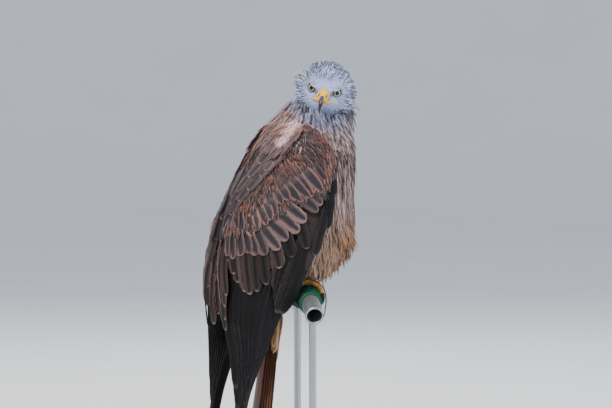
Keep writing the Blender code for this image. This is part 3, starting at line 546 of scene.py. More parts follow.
def fused(name, parts, voxel, finish):
    """Several closed meshes as one closed skin, made again from blocks of one size."""
    made = joined(name, parts)
    remesh = made.modifiers.new("one_skin", "REMESH")
    remesh.mode = "VOXEL"
    remesh.voxel_size = voxel * MM
    plain_mesh(made)
    made.data.shade_smooth()
    made.data.materials.clear()
    made.data.materials.append(finish)
    return made


def finished(made, slot, *nodes):
    """Hangs a piece under the root, and hides the solids it takes the place of."""
    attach(made, "root")
    if nodes:
        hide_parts(*nodes)


def shape_tree(made):
    """What tells quickly which places lie inside a closed shape."""
    shape = bmesh.new()
    shape.from_mesh(made.data)
    tree = BVHTree.FromBMesh(shape)
    shape.free()
    return tree


def inside(tree, place, slack):
    """Whether a place lies deeper than slack inside a closed shape."""
    near, normal, _, _ = tree.find_nearest(Vector(place))
    return near is not None and (Vector(place) - near).dot(normal) < -slack * MM


# Materials

def srgb(red, green, blue):
    """A colour as a picture shows it, 0 to 255, as the linear colour that shaders use."""
    c = np.array([red, green, blue], float) / 255
    return (*np.where(c <= 0.04045, c / 12.92, ((c + 0.055) / 1.055) ** 2.4), 1.0)


class Nodes:
    """A short way to place and join shader nodes in one tree."""

    def __init__(self, tree):
        self.tree = tree

    def add(self, kind, values=None, **settings):
        node = self.tree.nodes.new(kind)
        for key, value in settings.items():
            setattr(node, key, value)
        for key, value in (values or {}).items():
            self.put(node.inputs[key], value)
        return node

    def put(self, socket, value):
        if isinstance(value, bpy.types.NodeSocket):
            self.tree.links.new(value, socket)
        else:
            socket.default_value = value

    def math(self, operation, a, b=0.0, clamp=False):
        node = self.add("ShaderNodeMath", {0: a, 1: b}, operation=operation, use_clamp=clamp)
        return node.outputs[0]

    def times(self, a, b, clamp=False):
        return self.math("MULTIPLY", a, b, clamp)

    def plus(self, a, b):
        return self.math("ADD", a, b)

    def minus(self, a, b):
        return self.math("SUBTRACT", a, b)

    def vector_math(self, operation, a, b):
        return self.add("ShaderNodeVectorMath", {0: a, 1: b}, operation=operation).outputs

    def span(self, value, low, high, start=0.0, end=1.0):
        """value from low to high as start to end, with level ends."""
        ends = {"From Min": low, "From Max": high, "To Min": start, "To Max": end}
        node = self.add(
            "ShaderNodeMapRange", {"Value": value, **ends}, interpolation_type="SMOOTHSTEP"
        )
        return node.outputs["Result"]

    def level(self, height, low, high, start=0.0, end=1.0):
        """The same between two heights over the perch, in millimetres."""
        return self.span(height, (PERCH_TOP + low) * MM, (PERCH_TOP + high) * MM, start, end)

    def mix(self, share, a, b, kind="MIX"):
        node = self.add(
            "ShaderNodeMix", {"Factor": share, 6: a, 7: b}, data_type="RGBA", blend_type=kind
        )
        return node.outputs[2]

    def shaded(self, colour, light):
        """A colour made lighter or darker."""
        return self.mix(1.0, colour, self.combine(light, light, light), "MULTIPLY")

    def noise(self, vector, scale, detail=2.0, roughness=0.5):
        node = self.add(
            "ShaderNodeTexNoise",
            {"Vector": vector, "Scale": scale, "Detail": detail, "Roughness": roughness},
        )
        return node.outputs["Fac"]

    def mark(self, label):
        return self.add("ShaderNodeAttribute", attribute_name=label).outputs["Fac"]

    def place(self):
        return self.add("ShaderNodeTexCoord").outputs["Object"]

    def reach(self, vector, point):
        return self.vector_math("DISTANCE", vector, tuple(point))["Value"]

    def along(self, vector, point, way):
        """How far a place lies from a point in one direction."""
        moved = self.vector_math("SUBTRACT", vector, tuple(point))[0]
        return self.vector_math("DOT_PRODUCT", moved, tuple(way))["Value"]

    def split(self, vector):
        return self.add("ShaderNodeSeparateXYZ", {0: vector}).outputs

    def combine(self, x, y, z):
        return self.add("ShaderNodeCombineXYZ", {0: x, 1: y, 2: z}).outputs[0]

    def bump(self, height, strength, depth):
        """Relief of a depth in millimetres."""
        node = self.add(
            "ShaderNodeBump", {"Height": height, "Strength": strength, "Distance": depth * MM}
        )
        return node.outputs["Normal"]


def new_group(name, kind, inputs, outputs):
    """A group with its named sockets; each input is a name, a kind and perhaps a usual value."""
    tree = bpy.data.node_groups.new(name, kind)
    for label, socket_kind, *usual in inputs:
        socket = tree.interface.new_socket(label, in_out="INPUT", socket_type=socket_kind)
        if usual:
            socket.default_value = usual[0]
    for label, socket_kind in outputs:
        tree.interface.new_socket(label, in_out="OUTPUT", socket_type=socket_kind)
    given, made = tree.nodes.new("NodeGroupInput"), tree.nodes.new("NodeGroupOutput")
    return tree, Nodes(tree), given.outputs, made.inputs


FLOAT, COLOUR, GEOMETRY = "NodeSocketFloat", "NodeSocketColor", "NodeSocketGeometry"


def web_group():
    """A feather's markings: ground, shaft streak, pale fringe, barbs and its shaft's relief."""
    tree, n, i, made = new_group(
        "feather_markings", "ShaderNodeTree",
        [
            ("Across", FLOAT, 0.0),
            ("Along", FLOAT, 0.0),
            ("Chance", FLOAT, 0.0),
            ("Skew", FLOAT, 0.0),
            ("Ground", COLOUR, (0.5, 0.5, 0.5, 1)),
            ("Streak", COLOUR, (0.1, 0.1, 0.1, 1)),
            ("Fringe", COLOUR, (0.6, 0.5, 0.4, 1)),
            ("Streak Width", FLOAT, 0.3),
            ("Streak Softness", FLOAT, 0.2),
            ("Streak Strength", FLOAT, 1.0),
            ("Fringe Width", FLOAT, 0.15),
            ("Fringe Strength", FLOAT, 1.0),
            ("Unevenness", FLOAT, 0.2),
            ("Length In Barbs", FLOAT, 30.0),
        ],
        [("Colour", COLOUR), ("Height", FLOAT)],
    )
    away = n.math("ABSOLUTE", i["Across"])
    barbs = n.combine(
        n.minus(i["Along"], n.times(away, 0.22)),
        n.times(i["Across"], 0.05),
        n.times(i["Chance"], 7.0),
    )
    fine = n.noise(barbs, i["Length In Barbs"], 3.0, 0.65)
    torn = n.times(n.minus(fine, 0.5), 0.35)
    wide = n.plus(away, torn)
    off = n.plus(n.math("ABSOLUTE", n.plus(i["Across"], i["Skew"])), torn)
    narrow = n.times(i["Streak Width"], n.span(i["Along"], 0.7, 1.0, 1.0, 0.35))
    soft = n.plus(narrow, i["Streak Softness"])
    streak = n.span(off, narrow, soft, 1.0, 0.0)
    streak = n.times(streak, i["Streak Strength"], clamp=True)
    edge = n.span(wide, n.minus(1.0, i["Fringe Width"]), 1.0)
    tip = n.span(
        n.plus(i["Along"], n.times(torn, 0.25)),
        n.minus(1.0, n.times(i["Fringe Width"], 0.45)), 1.0,
    )
    edge = n.times(edge, n.span(i["Along"], 0.15, 0.75, 0.3, 1.0))
    fringe = n.times(n.math("MAXIMUM", edge, tip), i["Fringe Strength"], clamp=True)
    colour = n.mix(streak, i["Ground"], i["Streak"])
    colour = n.mix(fringe, colour, i["Fringe"])
    bright = n.plus(1.0, n.times(n.minus(i["Chance"], 0.5), i["Unevenness"]))
    lit = n.plus(bright, n.times(n.minus(fine, 0.5), 0.5))
    shaft = n.span(away, 0.03, 0.09, 1.0, 0.0)
    height = n.plus(n.times(fine, 0.6), n.times(shaft, 0.4))
    n.put(made["Colour"], n.shaded(colour, lit))
    n.put(made["Height"], height)
    return tree


WEB = web_group()


def new_material(name, settings=None):
    """A material, a way to add to its tree, and its shader with some plain settings."""
    material = bpy.data.materials.new(name)
    material.use_nodes = True
    shader = material.node_tree.nodes["Principled BSDF"]
    for key, value in (settings or {}).items():
        shader.inputs[key].default_value = value
    return material, Nodes(material.node_tree), shader


def paint(n, shader, colour, height=None, strength=0.0, depth=0.0):
    """Joins a colour to a shader, and relief where it has any."""
    n.put(shader.inputs["Base Color"], colour)
    if height is not None:
        n.put(shader.inputs["Normal"], n.bump(height, strength, depth))


def feather_finish(
    name, ground, streak, fringe, streak_width, softness, fringe_width, fringe_strength,
    streak_strength=1.0, unevenness=0.3, barbs=30.0, roughness=0.62, relief=0.35, sheen=0.15,
    gloss=0.35,
):
    """A feather material. Its colours and strengths may be numbers or made from the place."""
    material, n, shader = new_material(
        name,
        {"Sheen Weight": sheen, "Sheen Roughness": 0.5, "Specular IOR Level": gloss},
    )
    place = n.place()
    web = n.add("ShaderNodeGroup", node_tree=WEB)
    wanted = {
        **{key: n.mark(key.lower()) for key in ("Across", "Along", "Chance", "Skew")},
        "Ground": ground, "Streak": streak, "Fringe": fringe, "Streak Width": streak_width,
        "Streak Softness": softness, "Streak Strength": streak_strength,
        "Fringe Width": fringe_width, "Fringe Strength": fringe_strength,
        "Unevenness": unevenness, "Length In Barbs": barbs,
    }
    for key, value in wanted.items():
        n.put(web.inputs[key], value(n, place) if callable(value) else value)
    height = web.outputs["Height"]
    n.put(shader.inputs["Roughness"], n.plus(roughness - 0.1, n.times(height, 0.2)))
    paint(n, shader, web.outputs["Colour"], height, relief, 0.4)
    return material


# Colours shared by the skin and the feathers over it

HEAD_MIDDLE = at(*HEAD_CENTRE)
BILL_PLACE = on_head(BILL_BASE + 6, 0, -2)
CHIN = on_head(*CHIN_PLACE)
# PALE, FACE, THROAT and NECK are the plumage's own pale grey and lilac, with a blue cast added as
# painted shade from the cool sky
PALE = srgb(187, 198, 236)
FACE = srgb(194, 207, 250)
THROAT = srgb(150, 152, 182)
NECK = srgb(168, 154, 166)
BREAST = srgb(204, 171, 165)
BELLY = srgb(154, 109, 78)
FLANK = srgb(180, 146, 124)
BACK = srgb(84, 62, 56)
UPPER_BACK = srgb(186, 138, 124)
RUMP = srgb(112, 66, 46)
WING_DARK = srgb(44, 34, 36)


def head_ground(n, place):
    """Pale grey with a blue cast of painted sky shade, whitest on the face and greyer on the throat."""
    face = n.span(n.reach(place, BILL_PLACE), 0.018, 0.052, 1.0, 0.0)
    _, _, height = n.split(place)
    low = n.level(height, 226, 256, 1.0, 0.0)
    colour = n.mix(face, n.mix(low, PALE, THROAT), FACE)
    for side in (-1, 1):
        forward, out, up = LORE_PLACE
        lore = n.span(n.reach(place, on_head(forward, side * out, up)), 0.002, 0.0062, 0.85, 0.0)
        colour = n.mix(lore, colour, srgb(84, 86, 92))
        forward, out, up = EYE_PLACE
        eye = on_head(forward + 3, side * (out + 3), up + 1)
        colour = n.mix(n.span(n.reach(place, eye), 0.005, 0.0095, 0.55, 0.0), colour, srgb(96, 98, 112))
    return colour


def body_ground(n, place):
    """Grey at the neck with a blue cast of painted sky shade, rufous on the breast, buff below, and
    dark brown down the back.
    """
    _, depth, height = n.split(place)
    wander = n.times(n.minus(n.noise(place, 24.0), 0.5), 0.05)
    level = n.plus(height, wander)
    colour = n.mix(n.level(level, 60, 120), BELLY, BREAST)
    colour = n.mix(n.level(level, 190, 245), colour, NECK)
    chin = n.plus(n.reach(place, CHIN), wander)
    colour = n.mix(n.span(chin, 0.020, 0.048, 1.0, 0.0), colour, THROAT)
    edge = n.level(height, 150, 250, 0.036, -0.012)
    edge = n.minus(edge, n.level(height, -5, 45, 0.024, 0.0))
    behind = n.minus(n.plus(depth, wander), edge)
    flank = n.times(n.span(depth, -0.068, -0.036), n.level(height, 70, 120, 1.0, 0.0))
    colour = n.mix(flank, colour, FLANK)
    back = n.mix(n.level(height, -10, 40), RUMP, BACK)
    back = n.mix(
        n.level(level, 176, 222), back, UPPER_BACK
    )
    return n.mix(n.span(behind, -0.012, 0.014), colour, back)


# The skin

def build_skin():
    """One closed skin under the coat, through the body, head, thighs, wing cores and tail root."""
    angle = full_turn(48)
    heights = np.linspace(-27, 256, 60)
    parts = [loft("skin_body", [body_place(up, angle, -3.0) for up in heights])]
    stations = np.linspace(0.15, len(HEAD_SECTIONS) - 1.02, 50)
    parts.append(loft("skin_head", [head_place(s, angle, -2.6) for s in stations]))
    for side in (-1, 1):
        heights = np.linspace(20, 92, 20)
        parts.append(
            loft(
                "skin_thigh",
                [thigh_place(u, angle, side, -3.4 - 7.0 * ease((u - 54) / 24)) for u in heights],
            )
        )
        rings = []
        across = np.linspace(0, 1, 17)
        for up in np.linspace(224, -38, 40):
            sink = wing_sink(up, across) + 1.6
            deep = np.maximum(sink + wing_depth(up, across) - 2.0, sink + 1.8)
            outer, _ = wing_place(up, across, -sink, side)
            inner, _ = wing_place(up, across, -deep, side)
            rings.append(np.concatenate([outer, inner[::-1]]))
        parts.append(loft("skin_wing", rings))
    along = np.linspace(20, 112, 16)
    parts.append(loft("skin_tail", [tail_core_place(a, angle, -2.0) for a in along]))
    material, n, shader = new_material("kite_skin", {"Roughness": 0.9})
    place = n.place()
    left, _, height = n.split(place)
    colour = n.mix(n.level(height, 236, 252), body_ground(n, place), head_ground(n, place))
    wide = n.span(n.math("ABSOLUTE", left), 0.056, 0.064)
    colour = n.mix(wide, colour, WING_DARK)
    down = n.noise(place, 420.0, 4.0, 0.7)
    paint(n, shader, n.shaded(colour, n.span(down, 0.3, 0.7, 0.55, 0.95)), down, 0.6, 0.8)
    solids = ("torso", "neck", "head", "thigh_left", "thigh_right")
    finished(fused("skin", parts, 2.8, material), "body_feathers", *solids)


# Small feathers

# How wide a small feather is at each share of its length
FEATHER_ROWS = ((0.22, 0.72), (0.5, 1.0), (0.76, 0.62), (0.92, 0.26))


def feather_pattern(name):
    """One small feather of 24 faces, a unit long: ridged, closed and bent down to its tip."""
    points, across, along = [(0, 0, 0)], [0.0], [0.0]
    for y, width in FEATHER_ROWS:
        drop = -y * y
        points += [(-width, y, drop - 0.10), (0, y, drop + 0.10), (width, y, drop - 0.10)]
        across += [-width, 0.0, width]
        along += [y] * 3
    points.append((0, 1, -1))
    across.append(0.0)
    along.append(1.0)
    faces = [(0, 2, 1), (0, 3, 2), (0, 1, 3)]
    for k in range(len(FEATHER_ROWS) - 1):
        a, b = 1 + 3 * k, 4 + 3 * k
        faces += [(a, a + 1, b + 1), (a, b + 1, b), (a + 1, a + 2, b + 2), (a + 1, b + 2, b + 1)]
        faces += [(a, b, b + 2), (a, b + 2, a + 2)]
    last, tip = 1 + 3 * (len(FEATHER_ROWS) - 1), len(points) - 1
    faces += [(last, last + 1, tip), (last + 1, last + 2, tip), (last + 2, last, tip)]
    made = place_mesh(name, points, faces, None, {"across": across, "along": along})
    face_outwards(made)
    return made


def laying_tree():
    """Geometry nodes that lay feathers on root points, each with its own turn and size."""
    tree, n, given, made = new_group(
        "lay_feathers", "GeometryNodeTree",
        [
            ("Roots", GEOMETRY), ("Feather", "NodeSocketObject"), ("Width", FLOAT),
            ("Length", FLOAT), ("Bend", FLOAT), ("Unevenness", FLOAT), ("Patch", FLOAT),
            ("Seed", "NodeSocketInt"), ("Finish", "NodeSocketMaterial"),
        ],
        [("Feathers", GEOMETRY)],
    )

    def named(label, kind="FLOAT_VECTOR"):
        node = n.add("GeometryNodeInputNamedAttribute", {"Name": label}, data_type=kind)
        return node.outputs["Attribute"]

    feather = n.add("GeometryNodeObjectInfo", {"Object": given["Feather"]})
    low, high = n.minus(1.0, given["Unevenness"]), n.plus(1.0, given["Unevenness"])
    uneven = n.add(
        "FunctionNodeRandomValue", {2: low, 3: high, "Seed": given["Seed"]}, data_type="FLOAT"
    )
    shape = n.combine(given["Width"], given["Length"], given["Bend"])
    size = n.vector_math("MULTIPLY", named("size"), shape)[0]
    scaled = n.add(
        "ShaderNodeVectorMath", {0: size, "Scale": uneven.outputs[1]}, operation="SCALE"
    )
    lay = n.add(
        "GeometryNodeInstanceOnPoints",
        {
            "Points": given["Roots"], "Instance": feather.outputs["Geometry"],
            "Rotation": named("turn"), "Scale": scaled.outputs[0],
        },
    )
    real = n.add("GeometryNodeRealizeInstances", {"Geometry": lay.outputs["Instances"]})
    across = n.times(named("across", "FLOAT"), n.times(given["Patch"], 0.5))
    along = n.times(named("along", "FLOAT"), given["Patch"])
    bake = n.vector_math("ADD", n.combine(across, along, 0.0), named("root_uv"))[0]
    store = n.add(
        "GeometryNodeStoreNamedAttribute",
        {"Geometry": real.outputs["Geometry"], "Name": "OFBake", "Value": bake},
        data_type="FLOAT2", domain="CORNER",
    )
    finish = n.add(
        "GeometryNodeSetMaterial",
        {"Geometry": store.outputs["Geometry"], "Material": given["Finish"]},
    )
    n.put(made["Feathers"], finish.outputs["Geometry"])
    return tree


LAYING = laying_tree()
SMALL_FEATHER = feather_pattern("small_feather")


def set_inputs(modifier, values):
    """Sets a modifier's inputs by their sockets' identifiers."""
    for item in modifier.node_group.interface.items_tree:
        if item.item_type == "SOCKET" and item.in_out == "INPUT" and item.name in values:
            modifier[item.identifier] = values[item.name]


def rows_over(place, a_span, b_span, row_gap, column_gap, wrap=False):
    """Staggered rows of roots over a surface, from a_span's start to its end, as two lists."""
    start, end = a_span
    way = 1 if end > start else -1
    a, made_a, made_b, k = float(start), [], [], 0
    b_line = np.linspace(*b_span, 72)
    while (a - end) * way <= 0:
        line = place(a, b_line) / MM
        steps = np.concatenate([[0], np.cumsum(np.linalg.norm(np.diff(line, axis=0), axis=1))])
        gap = column_gap(a) if callable(column_gap) else column_gap
        count = max(int(steps[-1] / gap), 1)
        shares = np.arange(count) + 0.5 * (k % 2) + 0.25 + chances.uniform(-0.22, 0.22, count)
        shares = shares / count
        shares = shares % 1.0 if wrap else np.clip(shares, 0, 1)
        nudge = place(a + 0.01 * way, b_line) / MM
        pace = max(float(np.median(np.linalg.norm(nudge - line, axis=1))) / 0.01, 1e-3)
        gap = row_gap(a) if callable(row_gap) else row_gap
        made_b.append(np.interp(shares * steps[-1], steps, b_line))
        made_a.append(a + chances.uniform(-0.35, 0.35, count) * gap / pace)
        a += way * gap / pace
        k += 1
    return np.concatenate(made_a), np.concatenate(made_b)


def facing(place, a, b, sink=0.0):
    """Places on a surface and the directions that it faces there."""
    here = place(a, b, sink)
    out = place(a, b, sink + 1.0) - here
    da = place(a + 0.02, b, sink) - place(a - 0.02, b, sink)
    db = place(a, b + 0.01, sink) - place(a, b - 0.01, sink)
    normal = unit(np.cross(da, db))
    return here, normal * np.sign((normal * out).sum(-1))[..., None]


def euler_of(side, ahead, up):
    """The turns about x, y and z that lay a feather's own axes along these directions."""
    pitch = -np.arcsin(np.clip(side[:, 2], -1, 1))
    roll = np.arctan2(ahead[:, 2], up[:, 2])
    yaw = np.arctan2(side[:, 1], side[:, 0])
    return np.stack([roll, pitch, yaw], -1)


def lay_coat(name, finish, roots, normals, lies, lengths, halves, uv, slot,
             pitch=9.0, ruffle=5.0, bend=0.07, swing=7.0, blocks=(), uneven=0.12):
    """Lays small feathers with their roots on the skin, tips lifted and lying along lies."""
    count = len(roots)
    lies = unit(lies - normals * (lies * normals).sum(-1)[:, None])
    across = np.cross(lies, normals)
    swings = np.radians(chances.normal(0, swing, count))[:, None]
    lies = lies * np.cos(swings) + across * np.sin(swings)
    lift = np.radians(pitch + np.clip(chances.normal(0, ruffle, count), -2 * ruffle, 2 * ruffle))
    lift = lift[:, None]
    ahead = lies * np.cos(lift) + normals * np.sin(lift)
    up = normals * np.cos(lift) - lies * np.sin(lift)
    side = np.cross(ahead, up)
    probe = roots + ahead * (0.6 * lengths)[:, None] * MM + normals * 0.5 * MM
    keep = np.ones(count, bool)
    for tree, slack in blocks:
        keep &= np.array([not inside(tree, p, slack) for p in probe])
    turn = euler_of(side, ahead, up)
    size = np.stack([halves, lengths, np.maximum(lengths * bend, 0.5)], -1) * MM
    marks = {
        "turn": turn[keep], "size": size[keep],
        "root_uv": np.column_stack([uv, np.zeros(count)])[keep],
        "chance": chances.uniform(0, 1, count)[keep],
    }
    made = place_mesh(name, roots[keep], [], None, marks)
    modifier = made.modifiers.new("feathers", "NODES")
    modifier.node_group = LAYING
    set_inputs(
        modifier,
        {
            "Feather": SMALL_FEATHER, "Width": 1.0, "Length": 1.0, "Bend": 1.0,
            "Unevenness": uneven, "Patch": PATCH, "Seed": SEED, "Finish": finish,
        },
    )
    plain_mesh(made)
    for label in ("turn", "size", "root_uv"):
        if label in made.data.attributes:
            made.data.attributes.remove(made.data.attributes[label])
    made.data.shade_smooth()
    finished(made, slot)


def tile(column, row, u, v):
    """A place in one tile of the bake's unwrap, with room for a feather's own patch."""
    cell = 0.25
    margin = 2 * PATCH
    u, v = np.clip(u, 0, 1), np.clip(v, 0, 1)
    return np.stack(
        [
            cell * column + margin + u * (cell - 2 * margin),
            cell * row + margin + v * (cell - 3 * margin),
        ], -1,
    )


# Coats

DOWN = np.array([0.0, 0.0, -1.0])


def head_coat(blocks):
    """Short pale feathers round the bill, lengthening into dark-streaked ones over the crown."""
    last = len(HEAD_SECTIONS) - 1.0

    def row_gap(s):
        return 1.2 + 2.0 * float(ease((last - s - 1.2) / 3.4))

    def column_gap(s):
        return 1.2 + 1.6 * float(ease((last - s - 1.0) / 3.6))

    a, b = rows_over(head_place, (last - 0.15, 0.3), (0, 2 * math.pi), row_gap, column_gap, True)
    roots, normals = facing(head_place, a, b, -2.4)
    back = unit(head_place(a - 0.15, b) - head_place(a + 0.15, b))
    away = np.linalg.norm(roots - BILL_PLACE, axis=1) / MM
    low = roots[:, 2] / MM - PERCH_TOP - HEAD_CENTRE[2]
    sag = np.clip((away - 34) / 40, 0, 1) * np.clip(0.7 - low / 40, 0.15, 1.0)
    lies = unit(back * (1 - 0.8 * sag[:, None]) + DOWN * sag[:, None])
    throat = ease((-low - 8) / 22) * ease((away - 22) / 16)
    long = 4.4 + 9.6 * ease((away - 14) / 36) + 6.5 * throat
    half = 0.5 + 1.35 * ease((away - 16) / 36) + 0.3 * throat
    keep = np.ones(len(a), bool)
    for side in (-1, 1):
        eye = on_head(EYE_PLACE[0] + 5.0, side * (EYE_PLACE[1] + 4.0), EYE_PLACE[2])
        tip = roots + lies * (long * 0.7)[:, None] * MM
        keep &= np.linalg.norm(roots - eye, axis=1) > 5.6 * MM
        keep &= np.linalg.norm(tip - eye, axis=1) > 5.4 * MM
    uv = tile(0, 0, a / last, b / (2 * math.pi))

    def strength(n, place):
        some = n.span(n.mark("chance"), 0.24, 0.42, 0.10, 1.0)
        far = n.span(n.reach(place, BILL_PLACE), 0.018, 0.042, 0.10, 1.0)
        brow = n.span(n.along(place, HEAD_MIDDLE, HEAD_TURN @ np.array([0, 0, 1.0])), 0.013, 0.024)
        far = n.math("MAXIMUM", far, brow)
        _, _, height = n.split(place)
        under = n.level(height, 232, 250, 1.0, 0.0)
        return n.times(some, n.math("MAXIMUM", far, under))

    finish = feather_finish(
        "head_coat", head_ground, srgb(30, 28, 44), srgb(230, 235, 250),
        streak_width=0.34, softness=0.20, streak_strength=strength, fringe_width=0.35,
        fringe_strength=0.4, unevenness=0.16, barbs=14.0, roughness=0.75, relief=0.3,
    )
    crown = ease((low - 8) / 22)
    nape_tuft()
    lay_coat(
        "head_coat", finish, roots[keep], normals[keep], lies[keep],
        long[keep], half[keep], uv[keep], "head_feathers",
        pitch=6.0 + 3.0 * ease((away[keep] - 14) / 20) + 7.0 * crown[keep],
        ruffle=4.0, bend=0.11, swing=8.0, blocks=blocks,
    )


def nape_tuft():
    """The few raised feathers that show past the back of the head."""
    finish = feather_finish(
        "nape_feathers", srgb(206, 184, 194), srgb(120, 104, 118), srgb(232, 216, 224),
        streak_width=0.12, softness=0.3, streak_strength=0.5, fringe_width=0.35,
        fringe_strength=0.5, unevenness=0.2, barbs=14.0, roughness=0.75,
    )
    middle, outward = at(9, 15, 280), unit(np.array([0.40, 0.82, 0.40]))
    count = 130
    spread = chances.uniform(-1, 1, (count, 3)) * np.array([7.0, 4.0, 6.5])
    roots = middle + spread * MM
    normals = np.broadcast_to(unit(np.array([-0.70, 0.30, 0.65])), roots.shape)
    lies = unit(outward + spread * np.array([0.03, 0.02, 0.05]))
    lengths = chances.uniform(14, 17.5, count)
    uv = tile(0, 0, 0.15 + spread[:, 0] / 200, 0.35 + spread[:, 2] / 200)
    lay_coat(
        "nape_tuft", finish, roots, normals, lies, lengths,
        np.full(count, 2.0), uv, "head_feathers", pitch=2.0, ruffle=5.0, bend=0.12, swing=9.0,
    )


def body_coat(name, span, gaps, sizes, finish, spot, blocks, pitch=6.0, ruffle=3.0, sink=-2.8):
    """Feathers down one length of the body; their sizes may change with height."""
    a, b = rows_over(body_place, span, (0, 2 * math.pi), gaps[0], gaps[1], True)
    roots, normals = facing(body_place, a, b, sink)
    lies = np.broadcast_to(DOWN, roots.shape)
    lengths, halves = sizes(a, b)
    uv = tile(*spot, (a - min(span)) / abs(span[1] - span[0]), b / (2 * math.pi))
    lay_coat(
        name, finish, roots, normals, lies, lengths, halves, uv, "body_feathers",
        pitch=pitch, ruffle=ruffle, bend=0.06, swing=6.0, blocks=blocks,
    )


def streaked(strong, weak, low=1.0):
    """Only some feathers carry a strong dark streak, and fewer down the belly."""
    def made(n, place):
        _, _, height = n.split(place)
        some = n.span(n.mark("chance"), 0.35, 0.6, weak, strong)
        belly = n.level(height, 50, 140, low, 1.0)
        return n.times(some, belly)

    return made


def body_coats(blocks):
    neck = feather_finish(
        "neck_hackles", body_ground, srgb(34, 29, 42), srgb(200, 190, 198),
        streak_width=0.24, softness=0.24, streak_strength=streaked(0.8, 0.1),
        fringe_width=0.3, fringe_strength=0.5, unevenness=0.3, barbs=18.0, roughness=0.75,
    )
    breast = feather_finish(
        "breast_feathers", body_ground, srgb(48, 34, 34), srgb(206, 172, 148),
        streak_width=0.18, softness=0.24, streak_strength=streaked(0.75, 0.05, 0.3),
        fringe_width=0.35, fringe_strength=0.45, unevenness=0.35, barbs=20.0, roughness=0.75,
    )

    streaks = feather_finish(
        "streaked_feathers", body_ground, srgb(28, 22, 32), srgb(206, 184, 176),
        streak_width=0.50, softness=0.25, streak_strength=streaked(1.0, 0.8, 0.35),
        fringe_width=0.35, fringe_strength=0.5, unevenness=0.3, barbs=14.0, roughness=0.75,
    )

    def neck_sizes(a, b):
        return 22 + 5 * ease((240 - a) / 20), 1.8 + 0 * a

    def breast_sizes(a, b):
        long = 27 + 9 * ease((110 - a) / 50) - 16 * ease((52 - a) / 20) * np.cos(b).clip(0, 1)
        return long, 2.1 - 0.4 * ease((100 - a) / 40)

    def rump_sizes(a, b):
        return 22 - 6 * ease((10 - a) / 20) * np.cos(b).clip(0, 1), 2.2 + 0 * a

    def streak_sizes(a, b):
        return 30 + 8 * ease((235 - a) / 40), 1.8 - 0.3 * ease((110 - a) / 60)

    def streak_gap(a):
        return 10.0 + 11.0 * float(ease((205 - a) / 50))

    def streak_column(a):
        return 5.8 + 1.8 * float(ease((205 - a) / 50))

    body_coat("neck_coat", (259, 196), (3.3, 2.8), neck_sizes, neck, (1, 0), blocks, 7.0, 4.0)
    body_coat(
        "breast_coat", (212, 20), (4.0, 3.0), breast_sizes, breast, (2, 0), blocks, 5.0, 2.4,
    )
    body_coat(
        "rump_coat", (30, -24), (4.4, 3.2), rump_sizes, breast, (1, 3), blocks, 4.0, 2.4, -2.0,
    )
    body_coat(
        "streaked_coat", (256, 60), (streak_gap, streak_column), streak_sizes, streaks, (2, 1),
        blocks, 3.5, 1.2, -0.8,
    )


def thigh_coats(blocks):
    """Long loose feathers that hang round each leg to a ragged edge."""
    finish = feather_finish(
        "thigh_feathers", body_ground, srgb(60, 40, 30), srgb(206, 168, 132),
        streak_width=0.10, softness=0.2, streak_strength=streaked(0.35, 0.0),
        fringe_width=0.4, fringe_strength=0.45, unevenness=0.4, barbs=20.0, roughness=0.78,
    )
    streaks = feather_finish(
        "thigh_streaks", body_ground, srgb(40, 26, 22), srgb(196, 160, 130),
        streak_width=0.5, softness=0.25, fringe_width=0.4, fringe_strength=0.3,
        unevenness=0.3, barbs=14.0, roughness=0.75,
    )
    for side, word in SIDES:
        def place(a, b, grow=0.0, side=side):
            return thigh_place(a, b, side, grow)

        a, b = rows_over(place, (90, 21), (0, 2 * math.pi), 3.0, 2.4, True)
        roots, normals = facing(place, a, b, -3.6 - 3.0 * ease((a - 64) / 24))
        lies = unit(DOWN + normals * 0.02)
        ahead = -roots[:, 1] / MM - PERCH_FORWARD
        lengths = 29 + 7 * chances.uniform(-1, 1, len(a)) - 8 * ease((34 - a) / 14)
        lengths = lengths * (1 - 0.5 * ease((ahead - 20) / 28) * ease((66 - a) / 20))
        halves = 1.55 + 0 * a
        uv = tile(3, 0 if side < 0 else 1, (a - 18) / 80, b / (2 * math.pi))
        lay_coat(
            f"thigh_coat_{word}", finish, roots, normals, lies, lengths, halves, uv,
            "body_feathers", pitch=4.5, ruffle=3.0, bend=0.05, swing=7.0, blocks=blocks,
        )
        few = chances.uniform(0, 1, len(a)) < 0.045
        lay_coat(
            f"thigh_streaks_{word}", streaks, roots[few] + normals[few] * 2 * MM, normals[few],
            lies[few], lengths[few] * 1.25, halves[few] * 0.9, uv[few], "body_feathers",
            pitch=3.5, ruffle=1.0, bend=0.05, swing=3.0, blocks=blocks,
        )


MANTLE_EDGE = [(0.26, 217), (0.4, 205), (0.5, 196), (0.6, 186), (0.66, 184), (0.76, 192), (0.9, 196)]
# Painted sunlight on the mantle, each a height, a share of the way back over the wing, and how strongly
# the pale pink light is painted there
SUNLIT_PLACES = [
    (226, 0.38, 0.8), (220, 0.45, 0.9), (214, 0.515, 0.95), (208, 0.57, 1.0), (202, 0.605, 1.0),
    (196, 0.63, 0.9),
]


